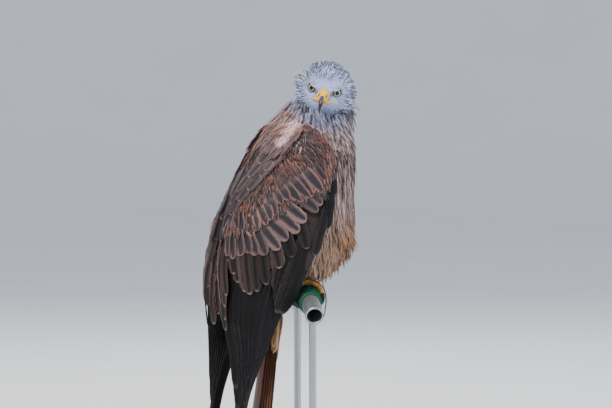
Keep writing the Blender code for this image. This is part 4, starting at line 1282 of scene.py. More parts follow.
def mantle_coats():
    """Loose rufous feathers over each wing's top, with painted pale pink sunlight along their lower
    edge.
    """
    def ground(n, place):
        _, _, height = n.split(place)
        low = n.mix(n.noise(place, 60.0), srgb(76, 58, 64), srgb(124, 92, 90))
        high = n.mix(n.noise(place, 60.0), srgb(150, 100, 80), srgb(206, 148, 124))
        colour = n.mix(n.level(height, 196, 226), low, high)
        for side in (-1, 1):
            # Painted sunlight: pale pink spots where the sun falls on the mantle's lower edge
            for up, across, pale in SUNLIT_PLACES:
                spot, _ = wing_place(up, across, 0.0, side)
                near = n.span(n.reach(place, spot), 0.004, 0.011, pale, 0.0)
                colour = n.mix(near, colour, srgb(252, 204, 206))
        return colour

    finish = feather_finish(
        "mantle_feathers", ground, srgb(72, 52, 54), srgb(222, 182, 168),
        streak_width=0.10, softness=0.22, streak_strength=streaked(0.8, 0.2),
        fringe_width=0.3, fringe_strength=0.5, unevenness=0.4, barbs=18.0, roughness=0.7,
    )
    for side, word in SIDES:
        def place(a, b, grow=0.0, side=side):
            return wing_place(a, b, np.asarray(grow, float) + 0 * np.asarray(a, float), side)[0]

        a, b = rows_over(place, (228, 180), (0.26, 0.94), 3.6, 3.0)
        low = np.interp(b, *zip(*MANTLE_EDGE))
        a, b = a[a > low], b[a > low]
        low = np.interp(b, *zip(*MANTLE_EDGE))
        roots, normals = facing(place, a, b, -1.8 + 2.4 * ease((low + 30 - a) / 20))
        back = unit(place(a, b + 0.01) - place(a, b - 0.01))
        lies = unit(DOWN + 0.35 * back)
        uv = tile(2, 3, 0.5 * b + (0.5 if side > 0 else 0.0), (a - 170) / 60)
        lay_coat(
            f"mantle_coat_{word}", finish, roots, normals, lies, chances.uniform(15, 20, len(a)),
            np.full(len(a), 2.3), uv, "wing_feathers", pitch=6.0, ruffle=3.0, bend=0.07, swing=8.0,
        )


LESSER_EDGE = [
    (0.0, 184), (0.05, 156), (0.09, 144), (0.2, 137), (0.3, 128), (0.4, 113), (0.5, 100), (0.6, 90),
    (0.75, 86), (0.85, 86), (1.0, 80),
]


def lesser_coats():
    """Small dark feathers with rufous edges over each wing's shoulder."""
    finish = feather_finish(
        "lesser_coverts",
        lambda n, place: n.mix(
            n.span(n.noise(place, 34.0), 0.35, 0.65), srgb(114, 76, 68), srgb(174, 104, 80)
        ),
        srgb(28, 24, 34), srgb(178, 126, 106), streak_width=0.38, softness=0.24,
        streak_strength=streaked(1.0, 0.75), fringe_width=0.3, fringe_strength=0.6,
        unevenness=0.45, barbs=16.0, roughness=0.66,
    )
    for side, word in SIDES:
        def place(a, b, grow=0.0, side=side):
            height = grow - wing_sink(np.asarray(a, float), np.asarray(b, float)) - 1.4
            return wing_place(a, b, height, side)[0]

        a, b = rows_over(place, (223, 68), (0.01, 0.99), 4.4, 3.8)
        low = np.interp(b, *zip(*LESSER_EDGE)) + chances.uniform(-9, 3, len(a))
        shown = (a > low) & (a < np.interp(b, *zip(*MANTLE_EDGE)) + 8)
        a, b = a[shown], b[shown]
        low = np.interp(b, *zip(*LESSER_EDGE))
        roots, normals = facing(place, a, b)
        roots = roots + normals * (4.2 * ease((low + 24 - a) / 20) * MM)[:, None]
        back = unit(place(a, b + 0.01) - place(a, b - 0.01))
        across = 0.1 + 0.9 * ease((a - 140) / 70) * ease(b / 0.3)
        lies = unit(DOWN - back * across[:, None])
        top = ease((222 - a) / 40)
        uv = tile(0 if side < 0 else 1, 1, b, (a - 70) / 160)
        lay_coat(
            f"lesser_coverts_{word}", finish, roots, normals, lies, 14 + 5 * top, 2.3 + 0.8 * top,
            uv, "wing_feathers", pitch=9.0, ruffle=4.0, bend=0.05, swing=9.0,
        )


# Large feathers

COLUMNS = np.array([-1.0, -0.72, -0.36, -0.07, 0.0, 0.07, 0.36, 0.72, 1.0])


def blade_mesh(feather, thickness=0.42):
    """Points and faces of one large feather: domed, shafted, thin and closed at its rim."""
    places, normals, halves = feather["places"], feather["normals"], feather["halves"]
    rows, cols = len(places), len(COLUMNS)
    ahead = unit(np.gradient(places, axis=0))
    side = unit(np.cross(normals, ahead))
    face = unit(np.cross(ahead, side))
    tilted = unit(side + face * feather["slopes"][:, None])
    face = unit(np.cross(ahead, tilted))
    c = COLUMNS + feather.get("lean", 0.0) * (1 - COLUMNS**2)
    torn = np.where(COLUMNS[None, :] < 0, feather["torn"][0][:, None], feather["torn"][1][:, None])
    width = halves[:, None] * c[None, :] * torn
    rise = -feather.get("camber", 0.05) * halves[:, None] * c[None, :] ** 2
    rise = rise + np.where(np.abs(COLUMNS) < 0.08, 0.28, 0.0) * np.minimum(halves[:, None] / 6, 1)
    top = places[:, None] + (tilted[:, None] * width[..., None] + face[:, None] * rise[..., None]) * MM
    low = top[1:-1, 1:-1] - face[1:-1, None] * thickness * MM
    points = np.concatenate([top.reshape(-1, 3), low.reshape(-1, 3)])
    upper = np.arange(rows * cols).reshape(rows, cols)
    lower = upper.copy()
    lower[1:-1, 1:-1] = rows * cols + np.arange((rows - 2) * (cols - 2)).reshape(rows - 2, cols - 2)
    faces = []
    for i in range(rows - 1):
        for j in range(cols - 1):
            over = (upper[i, j], upper[i, j + 1], upper[i + 1, j + 1], upper[i + 1, j])
            under = (lower[i, j], lower[i + 1, j], lower[i + 1, j + 1], lower[i, j + 1])
            faces.append(over)
            if set(over) != set(under):
                faces.append(under)
    return points, faces


def torn_edges(shares, depth=0.05, splits=0.5):
    """How far each of a feather's two edges strays from its outline, with a split or two."""
    edges = []
    for _ in range(2):
        edge = 1 + depth * chances.uniform(-1, 1, len(shares))
        if chances.uniform() < splits:
            where = chances.uniform(0.55, 0.93)
            edge = edge - 0.22 * np.exp(-(((shares - where) / 0.022) ** 2))
        edges.append(edge)
    return edges


def blade_halves(shares, half, tip=0.16, root=0.35):
    """How half a feather's width runs from its root to a rounded tip."""
    rise = root + (1 - root) * ease(shares / 0.3)
    end = np.sqrt(np.clip(1 - ((shares - 1 + tip) / tip).clip(0, 1) ** 2, 0.02, 1))
    return half * rise * end


def feather_set(name, feathers, finish, slot, *nodes):
    """Many large feathers as one piece, each a dict of its shape, tone and bake place."""
    points, faces, bake = [], [], []
    marks = {"across": [], "along": [], "chance": [], "tone": [], "skew": []}
    first = 0
    for feather in feathers:
        feather.setdefault("torn", torn_edges(feather["shares"], 0.065, 0.7))
        p, f = blade_mesh(feather)
        rows, cols = len(feather["places"]), len(COLUMNS)
        c = np.tile(COLUMNS, (rows, 1))
        s = np.repeat(feather["shares"][:, None], cols, 1)
        c = np.concatenate([c.ravel(), c[1:-1, 1:-1].ravel()])
        s = np.concatenate([s.ravel(), s[1:-1, 1:-1].ravel()])
        points.append(p)
        faces += [tuple(int(v) + first for v in face) for face in f]
        marks["across"].append(c)
        marks["along"].append(s)
        marks["chance"].append(np.full(len(p), chances.uniform()))
        marks["tone"].append(np.full(len(p), feather.get("tone", 0.5)))
        marks["skew"].append(np.full(len(p), feather.get("skew", 0.0)))
        bake.append(feather["uv"] + np.stack([c * PATCH / 2, s * PATCH], -1))
        first += len(p)
    marks = {label: np.concatenate(values) for label, values in marks.items()}
    made = place_mesh(name, np.concatenate(points), faces, finish, marks, np.concatenate(bake))
    finished(made, slot, *nodes)


STEEPEST = 0.2
BLADE_STEP = 0.75


def shingle(lines, over, side):
    """How steeply each feather of a tier tilts at each station to clear its neighbours."""
    for k, line in enumerate(lines):
        rows = []
        for a, b in ((k - 1, k), (k, k + 1)):
            if a < 0 or b >= len(lines):
                continue
            first, second = lines[a], lines[b]
            pitch = np.maximum(
                np.linalg.norm(second["places"] - first["places"], axis=1) / MM, 1.0
            )
            angle = np.arccos(np.clip((first["normals"] * second["normals"]).sum(-1), -1, 1))
            shared = np.maximum(first["halves"] + second["halves"] - pitch, 0.0)
            risen = over * (second["height"] - first["height"])
            need = BLADE_STEP + shared * angle / 2 - risen
            rows.append(np.maximum(0.0, need) / pitch)
        slope = np.minimum(np.mean(rows, axis=0), STEEPEST) if rows else 0 * line["halves"]
        line["slopes"] = over * side * slope


def wing_tier(rows, height, over, side, shares, spot, tip=0.18, skew=0.0, count=None, stray=1.0):
    """Feathers of one tier over a wing's outer face, front to back as rows gives them.

    Each row is a root (up, across), a tip (up, across), a half width and a tone, dark to pale.
    """
    table = [(k, *row) for k, row in enumerate(rows)]
    lines = []
    for k in np.linspace(0, len(rows) - 1, count or len(rows)):
        root_up, root_across, tip_up, tip_across, half, tone = smooth(np.array(k), table)
        tip_up += stray * chances.uniform(-2.5, 2.5)
        tip_across += stray * chances.uniform(-0.012, 0.012)
        bow = chances.uniform(-0.012, 0.012) * np.sin(math.pi * shares)
        up = root_up + (tip_up - root_up) * shares
        across = np.clip(root_across + (tip_across - root_across) * shares + bow, 0, 1)
        low, middle, high = height
        lift = low + (middle - low) * ease(shares / 0.36) + (high - middle) * shares
        lift = lift + chances.uniform(-0.15, 0.15)
        places, normals = wing_place(up, across, lift, side)
        root = np.array([root_across]), np.array([(root_up + 60) / 290])
        lines.append(
            {
                "places": places, "normals": normals, "height": lift, "shares": shares,
                "halves": blade_halves(
                    shares, half * (1 + stray * chances.uniform(-0.1, 0.1)), tip, 0.5
                ),
                "tone": tone + chances.uniform(-0.18, 0.18), "skew": skew * side,
                "uv": tile(*spot, *root)[0],
            }
        )
    shingle(lines, over, side)
    return lines


def rear_tier(rows, side, spot):
    """Loose feathers down the inner face of a wing's rear edge, which hide the gap between wings.

    Each row is a root (up, inset from the edge), a tip (up, inset), a half width and a tone.
    """
    lines = []
    for k, (root_up, root_in, tip_up, tip_in, half, tone) in enumerate(rows):
        shares = SHARES
        up = root_up + (tip_up - root_up) * shares
        inset = root_in + (tip_in - root_in) * shares
        _, rear, _ = wing_edges(up, side)
        off = 0.4 + 2.6 * ease(shares / 0.4) - 0.16 * k
        places = at(rear[:, 0] + inset, side * (rear[:, 1] - off), up)
        facing_way = unit(np.array([-side, 0.35, 0.0]))
        lines.append(
            {
                "places": places, "normals": np.broadcast_to(facing_way, places.shape),
                "shares": shares, "halves": blade_halves(shares, half, 0.2),
                "slopes": np.full(len(shares), 0.06), "tone": tone,
                "torn": torn_edges(shares, 0.1, 1.0), "camber": 0.2,
                "uv": tile(*spot, np.array([0.97]), np.array([(root_up + 60) / 290]))[0],
            }
        )
    return lines


SHARES = np.array([0, 0.08, 0.18, 0.3, 0.42, 0.54, 0.66, 0.76, 0.84, 0.90, 0.945, 0.975, 0.993, 1.0])
SHORT_SHARES = np.array([0, 0.12, 0.3, 0.48, 0.64, 0.77, 0.87, 0.94, 0.98, 1.0])

# Feathers of the folded wing, front to back: root (up, across), tip (up, across), half, tone
SECONDARIES = [
    (92, 0.05, -40, 0.04, 9.0, 0.0),
    (88, 0.15, -30, 0.11, 10.0, 0.0),
    (80, 0.30, -4, 0.19, 10.5, 0.1),
]
INNER_COVERTS = [
    (110, 0.26, 54, 0.08, 8.5, 0.1),
    (104, 0.36, 41, 0.15, 9.5, 0.2),
    (92, 0.44, 25, 0.22, 10.5, 0.3),
]
TERTIALS = [
    (92, 0.50, 5, 0.32, 6.8, 0.25),
    (90, 0.57, -7, 0.40, 6.8, 0.4),
    (86, 0.64, -12, 0.49, 6.8, 0.5),
    (84, 0.71, -8, 0.56, 7.0, 0.6),
    (82, 0.80, 4, 0.64, 7.0, 0.6),
    (84, 0.88, 20, 0.72, 7.0, 0.5),
    (88, 0.95, 34, 0.81, 7.0, 0.4),
]
LAST_TERTIALS = [
    (70, 0.88, -12, 0.86, 6.0, 0.5),
    (74, 0.93, -30, 0.90, 6.0, 0.65),
    (68, 0.97, -44, 0.94, 6.0, 0.55),
    (60, 0.99, -58, 0.98, 6.0, 0.35),
]
GREATER = [
    (162, 0.17, 117, 0.03, 7.3, 0.1),
    (152, 0.34, 114, 0.07, 8.4, 0.5),
    (142, 0.38, 103, 0.10, 8.4, 0.4),
    (128, 0.44, 90, 0.14, 9.5, 0.85),
    (114, 0.50, 75, 0.18, 9.5, 0.9),
    (102, 0.54, 63, 0.23, 9.5, 0.9),
    (94, 0.56, 52, 0.28, 9.5, 0.8),
    (92, 0.60, 45, 0.37, 9.5, 0.65),
    (90, 0.66, 46, 0.46, 9.0, 0.55),
    (90, 0.72, 46, 0.55, 9.0, 0.5),
    (90, 0.79, 44, 0.64, 9.0, 0.5),
    (94, 0.87, 40, 0.74, 8.4, 0.4),
    (98, 0.94, 40, 0.84, 8.4, 0.4),
]
MEDIAN = [
    (174, 0.20, 142, 0.06, 6.6, 0.3),
    (164, 0.32, 127, 0.10, 8.0, 0.5),
    (156, 0.38, 124, 0.17, 7.4, 0.4),
    (148, 0.43, 120, 0.23, 7.8, 0.5),
    (140, 0.48, 112, 0.32, 7.8, 0.45),
    (132, 0.53, 102, 0.37, 7.8, 0.35),
    (122, 0.57, 92, 0.41, 8.0, 0.5),
    (113, 0.63, 80, 0.48, 9.0, 0.95),
    (106, 0.70, 68, 0.56, 8.6, 0.7),
    (106, 0.78, 72, 0.64, 8.0, 0.3),
    (108, 0.85, 80, 0.72, 8.0, 0.35),
    (110, 0.93, 78, 0.82, 7.6, 0.3),
]
SCAPULARS = [
    (200, 0.50, 168, 0.62, 7.0, 0.45),
    (192, 0.55, 160, 0.67, 7.5, 0.3),
    (184, 0.58, 150, 0.70, 8.0, 0.25),
    (168, 0.66, 134, 0.78, 8.5, 0.25),
    (153, 0.74, 118, 0.86, 8.5, 0.3),
    (135, 0.82, 98, 0.92, 8.5, 0.25),
    (118, 0.90, 80, 0.985, 8.5, 0.2),
    (100, 0.95, 60, 0.995, 8.5, 0.15),
]
UPPER_SCAPULARS = [
    (210, 0.56, 178, 0.72, 7.5, 0.6),
    (200, 0.66, 166, 0.80, 8.0, 0.35),
    (184, 0.75, 148, 0.88, 8.0, 0.3),
    (166, 0.84, 130, 0.95, 8.0, 0.3),
    (148, 0.91, 112, 0.99, 8.0, 0.3),
    (130, 0.96, 94, 1.00, 8.0, 0.25),
]
ALULA = [
    (196, 0.02, 126, 0.00, 5.0, 0.0),
    (176, 0.03, 102, 0.00, 5.5, 0.0),
    (150, 0.04, 78, 0.00, 5.5, 0.0),
    (124, 0.04, 44, 0.01, 6.0, 0.0),
]
REAR_EDGE = [
    (176, 16, 134, 12, 6.5, 0.3),
    (164, 8, 120, 7, 6.5, 0.25),
    (150, 16, 104, 12, 7.0, 0.2),
    (138, 7, 90, 6, 7.0, 0.3),
    (124, 15, 76, 12, 7.0, 0.2),
    (112, 6, 62, 6, 7.0, 0.25),
    (100, 14, 46, 12, 7.0, 0.3),
    (88, 6, 30, 5, 7.0, 0.35),
    (76, 13, 12, 12, 6.5, 0.5),
    (68, 4, -4, 5, 6.5, 0.6),
    (62, 13, -18, 12, 6.0, 0.7),
    (54, 4, -30, 5, 6.0, 0.6),
    (50, 19, -42, 18, 6.0, 0.5),
    (46, 9, -56, 10, 6.0, 0.4),
]
PRIMARY_TIPS = (-208, -222, -234, -236, -228, -212, -192, -168, -140)
PRIMARY_ROOT, PRIMARY_HALF = 46.0, 8.5
PRIMARY_SPREAD, PRIMARY_STACK = 0.4, 0.95


def primary_lines(side):
    """The long flight feathers, fanned at the wrist and stacked towards their tips."""
    last = len(PRIMARY_TIPS) - 1
    lines = []
    for k, tip in enumerate(PRIMARY_TIPS):
        shares = np.linspace(0, 1, 24) ** 0.9
        up = PRIMARY_ROOT + (tip - PRIMARY_ROOT) * shares
        lead, rear, _ = wing_edges(up, side)
        chord = np.linalg.norm(rear - lead, axis=1)
        room = np.maximum(chord - 2 * PRIMARY_HALF, 0.0)
        across = np.minimum(PRIMARY_HALF, chord / 2) / chord + k / last * room / chord
        stacked = ease((-10 - up) / 70)
        spread = PRIMARY_SPREAD * k - 10.0
        stack = PRIMARY_STACK * (k - last) - 0.6
        lift = spread + (stack - spread) * stacked
        places, normals = wing_place(up, across, lift, side)
        half = blade_halves(shares, PRIMARY_HALF, 0.10) * (1 - 0.3 * ease((shares - 0.5) / 0.5))
        lines.append(
            {
                "places": places, "normals": normals, "height": lift, "shares": shares,
                "halves": half, "tone": chances.uniform(0.0, 0.06), "lean": 0.25 * side,
                "torn": torn_edges(shares, 0.015, 0.3),
                "uv": tile(2 if side < 0 else 3, 2, np.array([k / last]), np.array([0.1]))[0],
            }
        )
    shingle(lines, 1, side)
    return lines


def patchy(low, high):
    """A strength that comes and goes over the bird."""
    return lambda n, place: n.span(n.noise(place, 90.0), 0.35, 0.6, low, high)


def toned(dark, light):
    """From dark to light as a feather's tone goes from 0 to 1."""
    return lambda n, place: n.mix(n.times(n.mark("tone"), 1.0, clamp=True), dark, light)


def wing_feathers():
    flight = feather_finish(
        "flight_feathers", toned(srgb(10, 9, 12), srgb(74, 60, 57)), srgb(3, 3, 5),
        toned(srgb(78, 72, 76), srgb(160, 134, 120)), streak_width=0.07, softness=0.5,
        streak_strength=0.85, fringe_width=0.10,
        fringe_strength=lambda n, place: n.span(n.mark("tone"), 0.0, 0.6, 0.7, 0.95),
        unevenness=0.5, barbs=70.0, roughness=0.5, relief=0.7, sheen=0.0, gloss=0.18,
    )
    covert = feather_finish(
        "wing_coverts", toned(srgb(50, 42, 50), srgb(124, 96, 90)), srgb(24, 21, 30),
        toned(srgb(110, 80, 68), srgb(156, 118, 100)), streak_width=0.20, softness=0.58,
        streak_strength=0.97, fringe_width=0.11, fringe_strength=patchy(0.25, 1.0),
        unevenness=0.4, barbs=40.0, roughness=0.58, relief=0.45, sheen=0.03,
    )
    median = feather_finish(
        "median_coverts", toned(srgb(84, 62, 60), srgb(140, 102, 90)), srgb(26, 23, 34),
        toned(srgb(128, 88, 72), srgb(162, 116, 94)), streak_width=0.36, softness=0.44,
        streak_strength=0.97, fringe_width=0.09, fringe_strength=patchy(0.0, 0.85),
        unevenness=0.45, barbs=34.0, roughness=0.6, relief=0.45, sheen=0.03,
    )
    scapular = feather_finish(
        "scapulars", toned(srgb(34, 30, 37), srgb(106, 84, 82)),
        srgb(28, 23, 30), toned(srgb(142, 118, 114), srgb(160, 132, 124)),
        streak_width=0.06, softness=0.5, streak_strength=0.9,
        fringe_width=0.11, fringe_strength=patchy(0.45, 1.0), unevenness=0.4, barbs=50.0,
        roughness=0.56, relief=0.4, sheen=0.03,
    )
    for side, word in SIDES:
        spot = (2 if side < 0 else 3, 2)
        long = primary_lines(side)
        long += wing_tier(SECONDARIES, (-11, -6.4, -5.6), 1, side, SHARES, spot, count=7)
        long += wing_tier(INNER_COVERTS, (-9.6, -5.0, -3.6), -1, side, SHARES, spot, 0.22)
        long += wing_tier(TERTIALS, (-10.5, -4.2, -2.6), 1, side, SHARES, spot, 0.14)
        long += wing_tier(LAST_TERTIALS, (-9.5, -2.6, -0.4), 1, side, SHARES, spot, 0.2)
        long += wing_tier(ALULA, (-6.0, -1.2, -1.4), -1, side, SHARES, spot, 0.2)
        feather_set(f"flight_feathers_{word}", long, flight, "wing_feathers", f"wing_{word}")
        spot = (0 if side < 0 else 1, 2)
        greater = wing_tier(GREATER, (-9, -3.6, -1.6), -1, side, SHARES, spot, 0.22, 0.2)
        feather_set(f"greater_coverts_{word}", greater, covert, "wing_feathers")
        middle = wing_tier(
            MEDIAN, (-8.5, -2.4, -0.6), -1, side, SHORT_SHARES, spot, 0.42, 0.12, 16, 2.0,
        )
        feather_set(f"median_coverts_{word}", middle, median, "wing_feathers")
        upper = wing_tier(SCAPULARS, (-7, -2.2, -0.8), 1, side, SHARES, spot, 0.24)
        upper += wing_tier(UPPER_SCAPULARS, (-6, -1.4, 0.2), 1, side, SHARES, spot, 0.26)
        upper += rear_tier(REAR_EDGE, side, spot)
        feather_set(f"scapulars_{word}", upper, scapular, "wing_feathers")


# Tail

def tail_feather(start, end, left, layers, half, tilt, tone, front=False):
    """One tail feather or covert, from one place along the tail to another."""
    shares = SHARES if end - start > 120 else SHORT_SHARES
    upper = unit(tail_place(0, 0, 1) - tail_place(0, 0, 0))
    layer = layers[0] + (layers[1] - layers[0]) * ease(shares / 0.4)
    sideways = left[0] + (left[1] - left[0]) * shares
    places = tail_place(start + (end - start) * shares, sideways, layer)
    facing_way = -upper if front else upper
    return {
        "places": places, "normals": np.broadcast_to(facing_way, places.shape),
        "shares": shares, "halves": blade_halves(shares, half, 0.08 if end > 200 else 0.25),
        "slopes": np.full(len(shares), tilt), "tone": tone,
        "uv": tile(0, 3, np.array([0.5 + left[1] / 90]), np.array([start / 300]))[0],
    }


def tail_feathers():
    # The rufous is partly the tail's own colour and partly painted shade: it is kept dark because the
    # tail hangs in shade under the wings
    finish = feather_finish(
        "tail_feathers",
        lambda n, place: n.mix(
            n.mark("tone"), srgb(66, 44, 38),
            n.mix(n.noise(place, 60.0), srgb(84, 49, 36), srgb(112, 68, 46)),
        ),
        srgb(58, 36, 32), srgb(104, 66, 52), streak_width=0.03, softness=0.08,
        fringe_width=0.12, fringe_strength=0.5, unevenness=0.2, barbs=90.0, roughness=0.55,
        relief=0.45, sheen=0.05,
    )
    feathers, coverts = [], []
    for pair in range(TAIL_PAIRS):
        end = TAIL_INNER + (TAIL_OUTER - TAIL_INNER) * (pair / (TAIL_PAIRS - 1)) ** 1.4
        for side in (-1, 1):
            layer = 1.15 * (1.4 - 2 * pair - (side > 0))
            left = (side * (pair + 0.6) * 1.6, side * (pair + 0.6) * 5.8)
            tone = 0.0 if pair == TAIL_PAIRS - 1 else 1.0
            feathers.append(tail_feather(64, end, left, (layer, layer), 11.5, 0.0, tone))
    for k in range(9):
        aside = k - 4
        sideways = 4.6 * aside
        over = 1.0 - 0.8 * abs(aside)
        tilt = 0.12 * np.sign(aside)
        left = (0.7 * sideways, sideways)
        for row in (0, 1):
            reach = 150 - 34 * row - 5 * abs(aside)
            feathers.append(
                tail_feather(46, reach - 26, left, (3.0, 6.8 + over + row), 6.0, -tilt, 0.9)
            )
            under = (-9.0, -14.4 - over - row)
            coverts.append(tail_feather(50, reach, left, under, 6.5, -tilt, 1.0, front=True))
    feather_set("tail_feathers", feathers, finish, "tail_feathers", "tail")
    buff = feather_finish(
        "undertail_coverts",
        lambda n, place: n.mix(n.noise(place, 70.0), srgb(160, 118, 80), srgb(196, 160, 118)),
        srgb(104, 70, 50), srgb(206, 180, 144), streak_width=0.04, softness=0.12,
        fringe_width=0.2, fringe_strength=0.5, unevenness=0.5, barbs=60.0, roughness=0.65,
    )
    for side in (-1, 1):
        for k in range(4):
            left = (side * (9 + 1.5 * k), side * (14 + 2.6 * k))
            lift = (-11.0 + 2.6 * k, -13.0 + 2.8 * k)
            coverts.append(
                tail_feather(44, 128 - 9 * k, left, lift, 6.0, side * (0.3 + 0.2 * k), 1.0, True)
            )
    for row in range(4):
        for k in range(7 - row % 2):
            aside = k - 3 + 0.5 * (row % 2)
            left = (3.4 * aside, 4.0 * aside)
            under = -15.6 - 1.3 * row + 0.9 * abs(aside)
            start = 88 - 13 * row + chances.uniform(-2, 2)
            length = 34 + chances.uniform(-4, 4)
            coverts.append(
                tail_feather(start, start + length, left, (under + 3, under), 3.6,
                             0.14 * np.sign(aside), 1.0, True)
            )
    feather_set("undertail_coverts", coverts, buff, "tail_feathers")


# Eyes and brows, measured in the head's own frame

def eye_look(side):
    return np.array([math.sin(EYE_TURN) * side, -math.cos(EYE_TURN), 0.0])


def eye_middle(side):
    forward, out, up = EYE_PLACE
    return np.array([side * out, -forward, up])


def square_to(look):
    """Two directions square to one: sideways and upwards."""
    side = unit(np.cross(np.array([0.0, 0.0, 1.0]), look))
    return side, np.cross(look, side)


def from_head(local):
    local = np.asarray(local, float)
    return on_head(-local[..., 1], local[..., 0], local[..., 2])


def build_eyes():
    """Cream irises round black pupils, under a clear coat."""
    material, n, shader = new_material(
        "kite_eye",
        {"Roughness": 0.25, "Specular IOR Level": 0.2, "Coat Weight": 0.35, "Coat Roughness": 0.03},
    )
    away = n.mark("away")
    turn = n.mark("turn")
    rays = n.noise(n.combine(n.times(turn, 5.0), away, 0.0), 14.0, 3.0, 0.6)
    iris = n.mix(rays, srgb(196, 188, 156), srgb(240, 235, 212))
    iris = n.mix(n.span(away, *IRIS_RIM), iris, srgb(30, 24, 22))
    ring = n.span(away, *IRIS_RING)
    iris = n.mix(n.times(n.minus(1.0, ring), 0.5), iris, srgb(150, 128, 84))
    paint(n, shader, n.mix(n.span(away, *PUPIL_RIM), srgb(4, 4, 5), iris))
    behind = 9.0
    radius = EYE_RADIUS - 0.1
    count = 48
    for side, word in SIDES:
        sight = np.array([math.sin(EYE_SIGHT) * side, -math.cos(EYE_SIGHT), 0.0])
        round_sight = circle(*square_to(sight), count)
        rings, away, turns = [], [], []
        for polar in np.radians(np.linspace(1.5, 178.5, 40)):
            reach, out = radius * math.sin(polar), radius * math.cos(polar)
            rings.append(from_head(eye_middle(side) + sight * out + round_sight * reach))
            away.append(np.full(count, reach if out > 0 else behind))
            turns.append(full_turn(count))
        marks = {
            "away": np.concatenate([*away, [0.0], [behind]]),
            "turn": np.concatenate([*turns, [0.0], [0.0]]),
        }
        made = loft(f"eye_detail_{word}", rings, material, marks=marks)
        finished(made, "eye", f"eye_{word}")


def build_rims():
    """The dark bare rim round each eye."""
    material, n, shader = new_material("eye_rim", {"Roughness": 0.55})
    grain = n.noise(n.place(), 900.0, 3.0)
    paint(n, shader, n.mix(grain, srgb(38, 36, 42), srgb(78, 74, 84)), grain, 0.4, 0.3)
    rims = []
    for side in (-1, 1):
        look = eye_look(side)
        centre = eye_middle(side) + look * (EYE_RADIUS * 0.66)
        rings = [
            from_head(centre + out * RIM_REACH + circle(out * RIM_WIDTH, look * RIM_DEPTH, 12))
            for out in circle(*square_to(look), 48)
        ]
        rims.append(loft("rim", rings, tube=True))
    finished(joined("eye_rims", rims, material), "head_feathers")


def brow_axes(side):
    """The middle direction of a frowning lid, and two square to it."""
    look = eye_look(side)
    _, rise = square_to(look)
    nasal = unit(np.cross(rise, look)) * -side
    axis = unit(rise * math.cos(BROW_FROWN) + nasal * math.sin(BROW_FROWN) + look * 0.10)
    first = unit(np.cross(axis, look))
    return axis, first, np.cross(axis, first)


def build_brows():
    """The frowning lid over each eye, which the brow's feathers run down to."""
    material, n, shader = new_material("brow_skin", {"Roughness": 0.75})
    fine = n.noise(n.place(), 1300.0, 3.0)
    colour = n.mix(n.span(n.mark("edge"), 0.80, 1.0), srgb(196, 202, 222), srgb(58, 58, 66))
    colour = n.mix(n.times(fine, 0.3), colour, srgb(120, 122, 136))
    paint(n, shader, colour, fine, 0.5, 0.4)
    polar = np.radians(np.linspace(4, BROW_REACH, 14))
    shells = [(p, LID_RADIUS) for p in polar] + [(p, LID_RADIUS - 0.8) for p in polar[::-1]]
    count = 48
    lids = []
    for side in (-1, 1):
        axis, first, second = brow_axes(side)
        out = circle(first, second, count)
        rings = [
            from_head(eye_middle(side) + radius * (axis * math.cos(p) + out * math.sin(p)))
            for p, radius in shells
        ]
        edges = np.concatenate([*(np.full(count, p / polar[-1]) for p, _ in shells), [0.0], [0.0]])
        lids.append(loft("lid", rings, marks={"edge": edges}))
    finished(joined("brow_lids", lids, material), "head_feathers")


def brow_coat():
    """Short feathers that run back over each frowning lid."""
    roots, normals, lies, places = [], [], [], []
    for side in (-1, 1):
        look = eye_look(side)
        axis, first, second = brow_axes(side)
        for polar in np.radians(np.arange(3, BROW_REACH - 7, 7.5)):
            count = max(int(2 * math.pi * math.sin(polar) * 7.5), 3)
            for turn in 2 * math.pi * (np.arange(count) + chances.uniform(0, 1)) / count:
                out = math.cos(turn) * first + math.sin(turn) * second
                way = axis * math.cos(polar) + out * math.sin(polar)
                if way @ look < -0.25:
                    continue
                roots.append(from_head(eye_middle(side) + (LID_RADIUS - 0.2) * way))
                normals.append(HEAD_TURN @ way)
                lies.append(HEAD_TURN @ np.array([0.35 * side, 1.0, 0.25]))
                places.append(tile(3, 3, 0.5 + side * (0.25 + 0.1 * way[0]), 0.5 + 0.3 * way[2]))
    finish = feather_finish(
        "brow_feathers", head_ground, srgb(70, 70, 86), srgb(226, 231, 247),
        streak_width=0.2, softness=0.3, streak_strength=0.35, fringe_width=0.35,
        fringe_strength=0.4, unevenness=0.2, barbs=14.0, roughness=0.75, relief=0.3,
    )
    count = len(roots)
    lay_coat(
        "brow_coat", finish, np.array(roots), np.array(normals), np.array(lies),
        np.full(count, 5.0), np.full(count, 0.62), np.array(places), "head_feathers",
        pitch=5.0, ruffle=3.0, bend=0.16, swing=7.0,
    )


# Cere and bill

def bill_rings(sections, grow=0.0, steps=5, sides=32):
    """Rings of a bill part, leaning with its middle line as it curves down."""
    rows = [(k, *section) for k, section in enumerate(sections)]
    stations = np.linspace(0, len(sections) - 1, (len(sections) - 1) * steps + 1)
    forward, half, top, bottom = np.moveaxis(smooth(stations, rows), -1, 0)
    middle = (top + bottom) / 2
    lean = np.arctan2(np.gradient(middle), np.gradient(forward))
    turn = full_turn(sides)
    rings = []
    for f, h, t, b, m, slope in zip(forward, half, top, bottom, middle, lean):
        rise = (np.sin(turn) * (t - b) / 2 + np.sign(np.sin(turn)) * grow)
        rings.append(
            on_head(
                f - rise * math.sin(slope), (h + grow) * np.cos(turn), m + rise * math.cos(slope),
            )
        )
    return rings


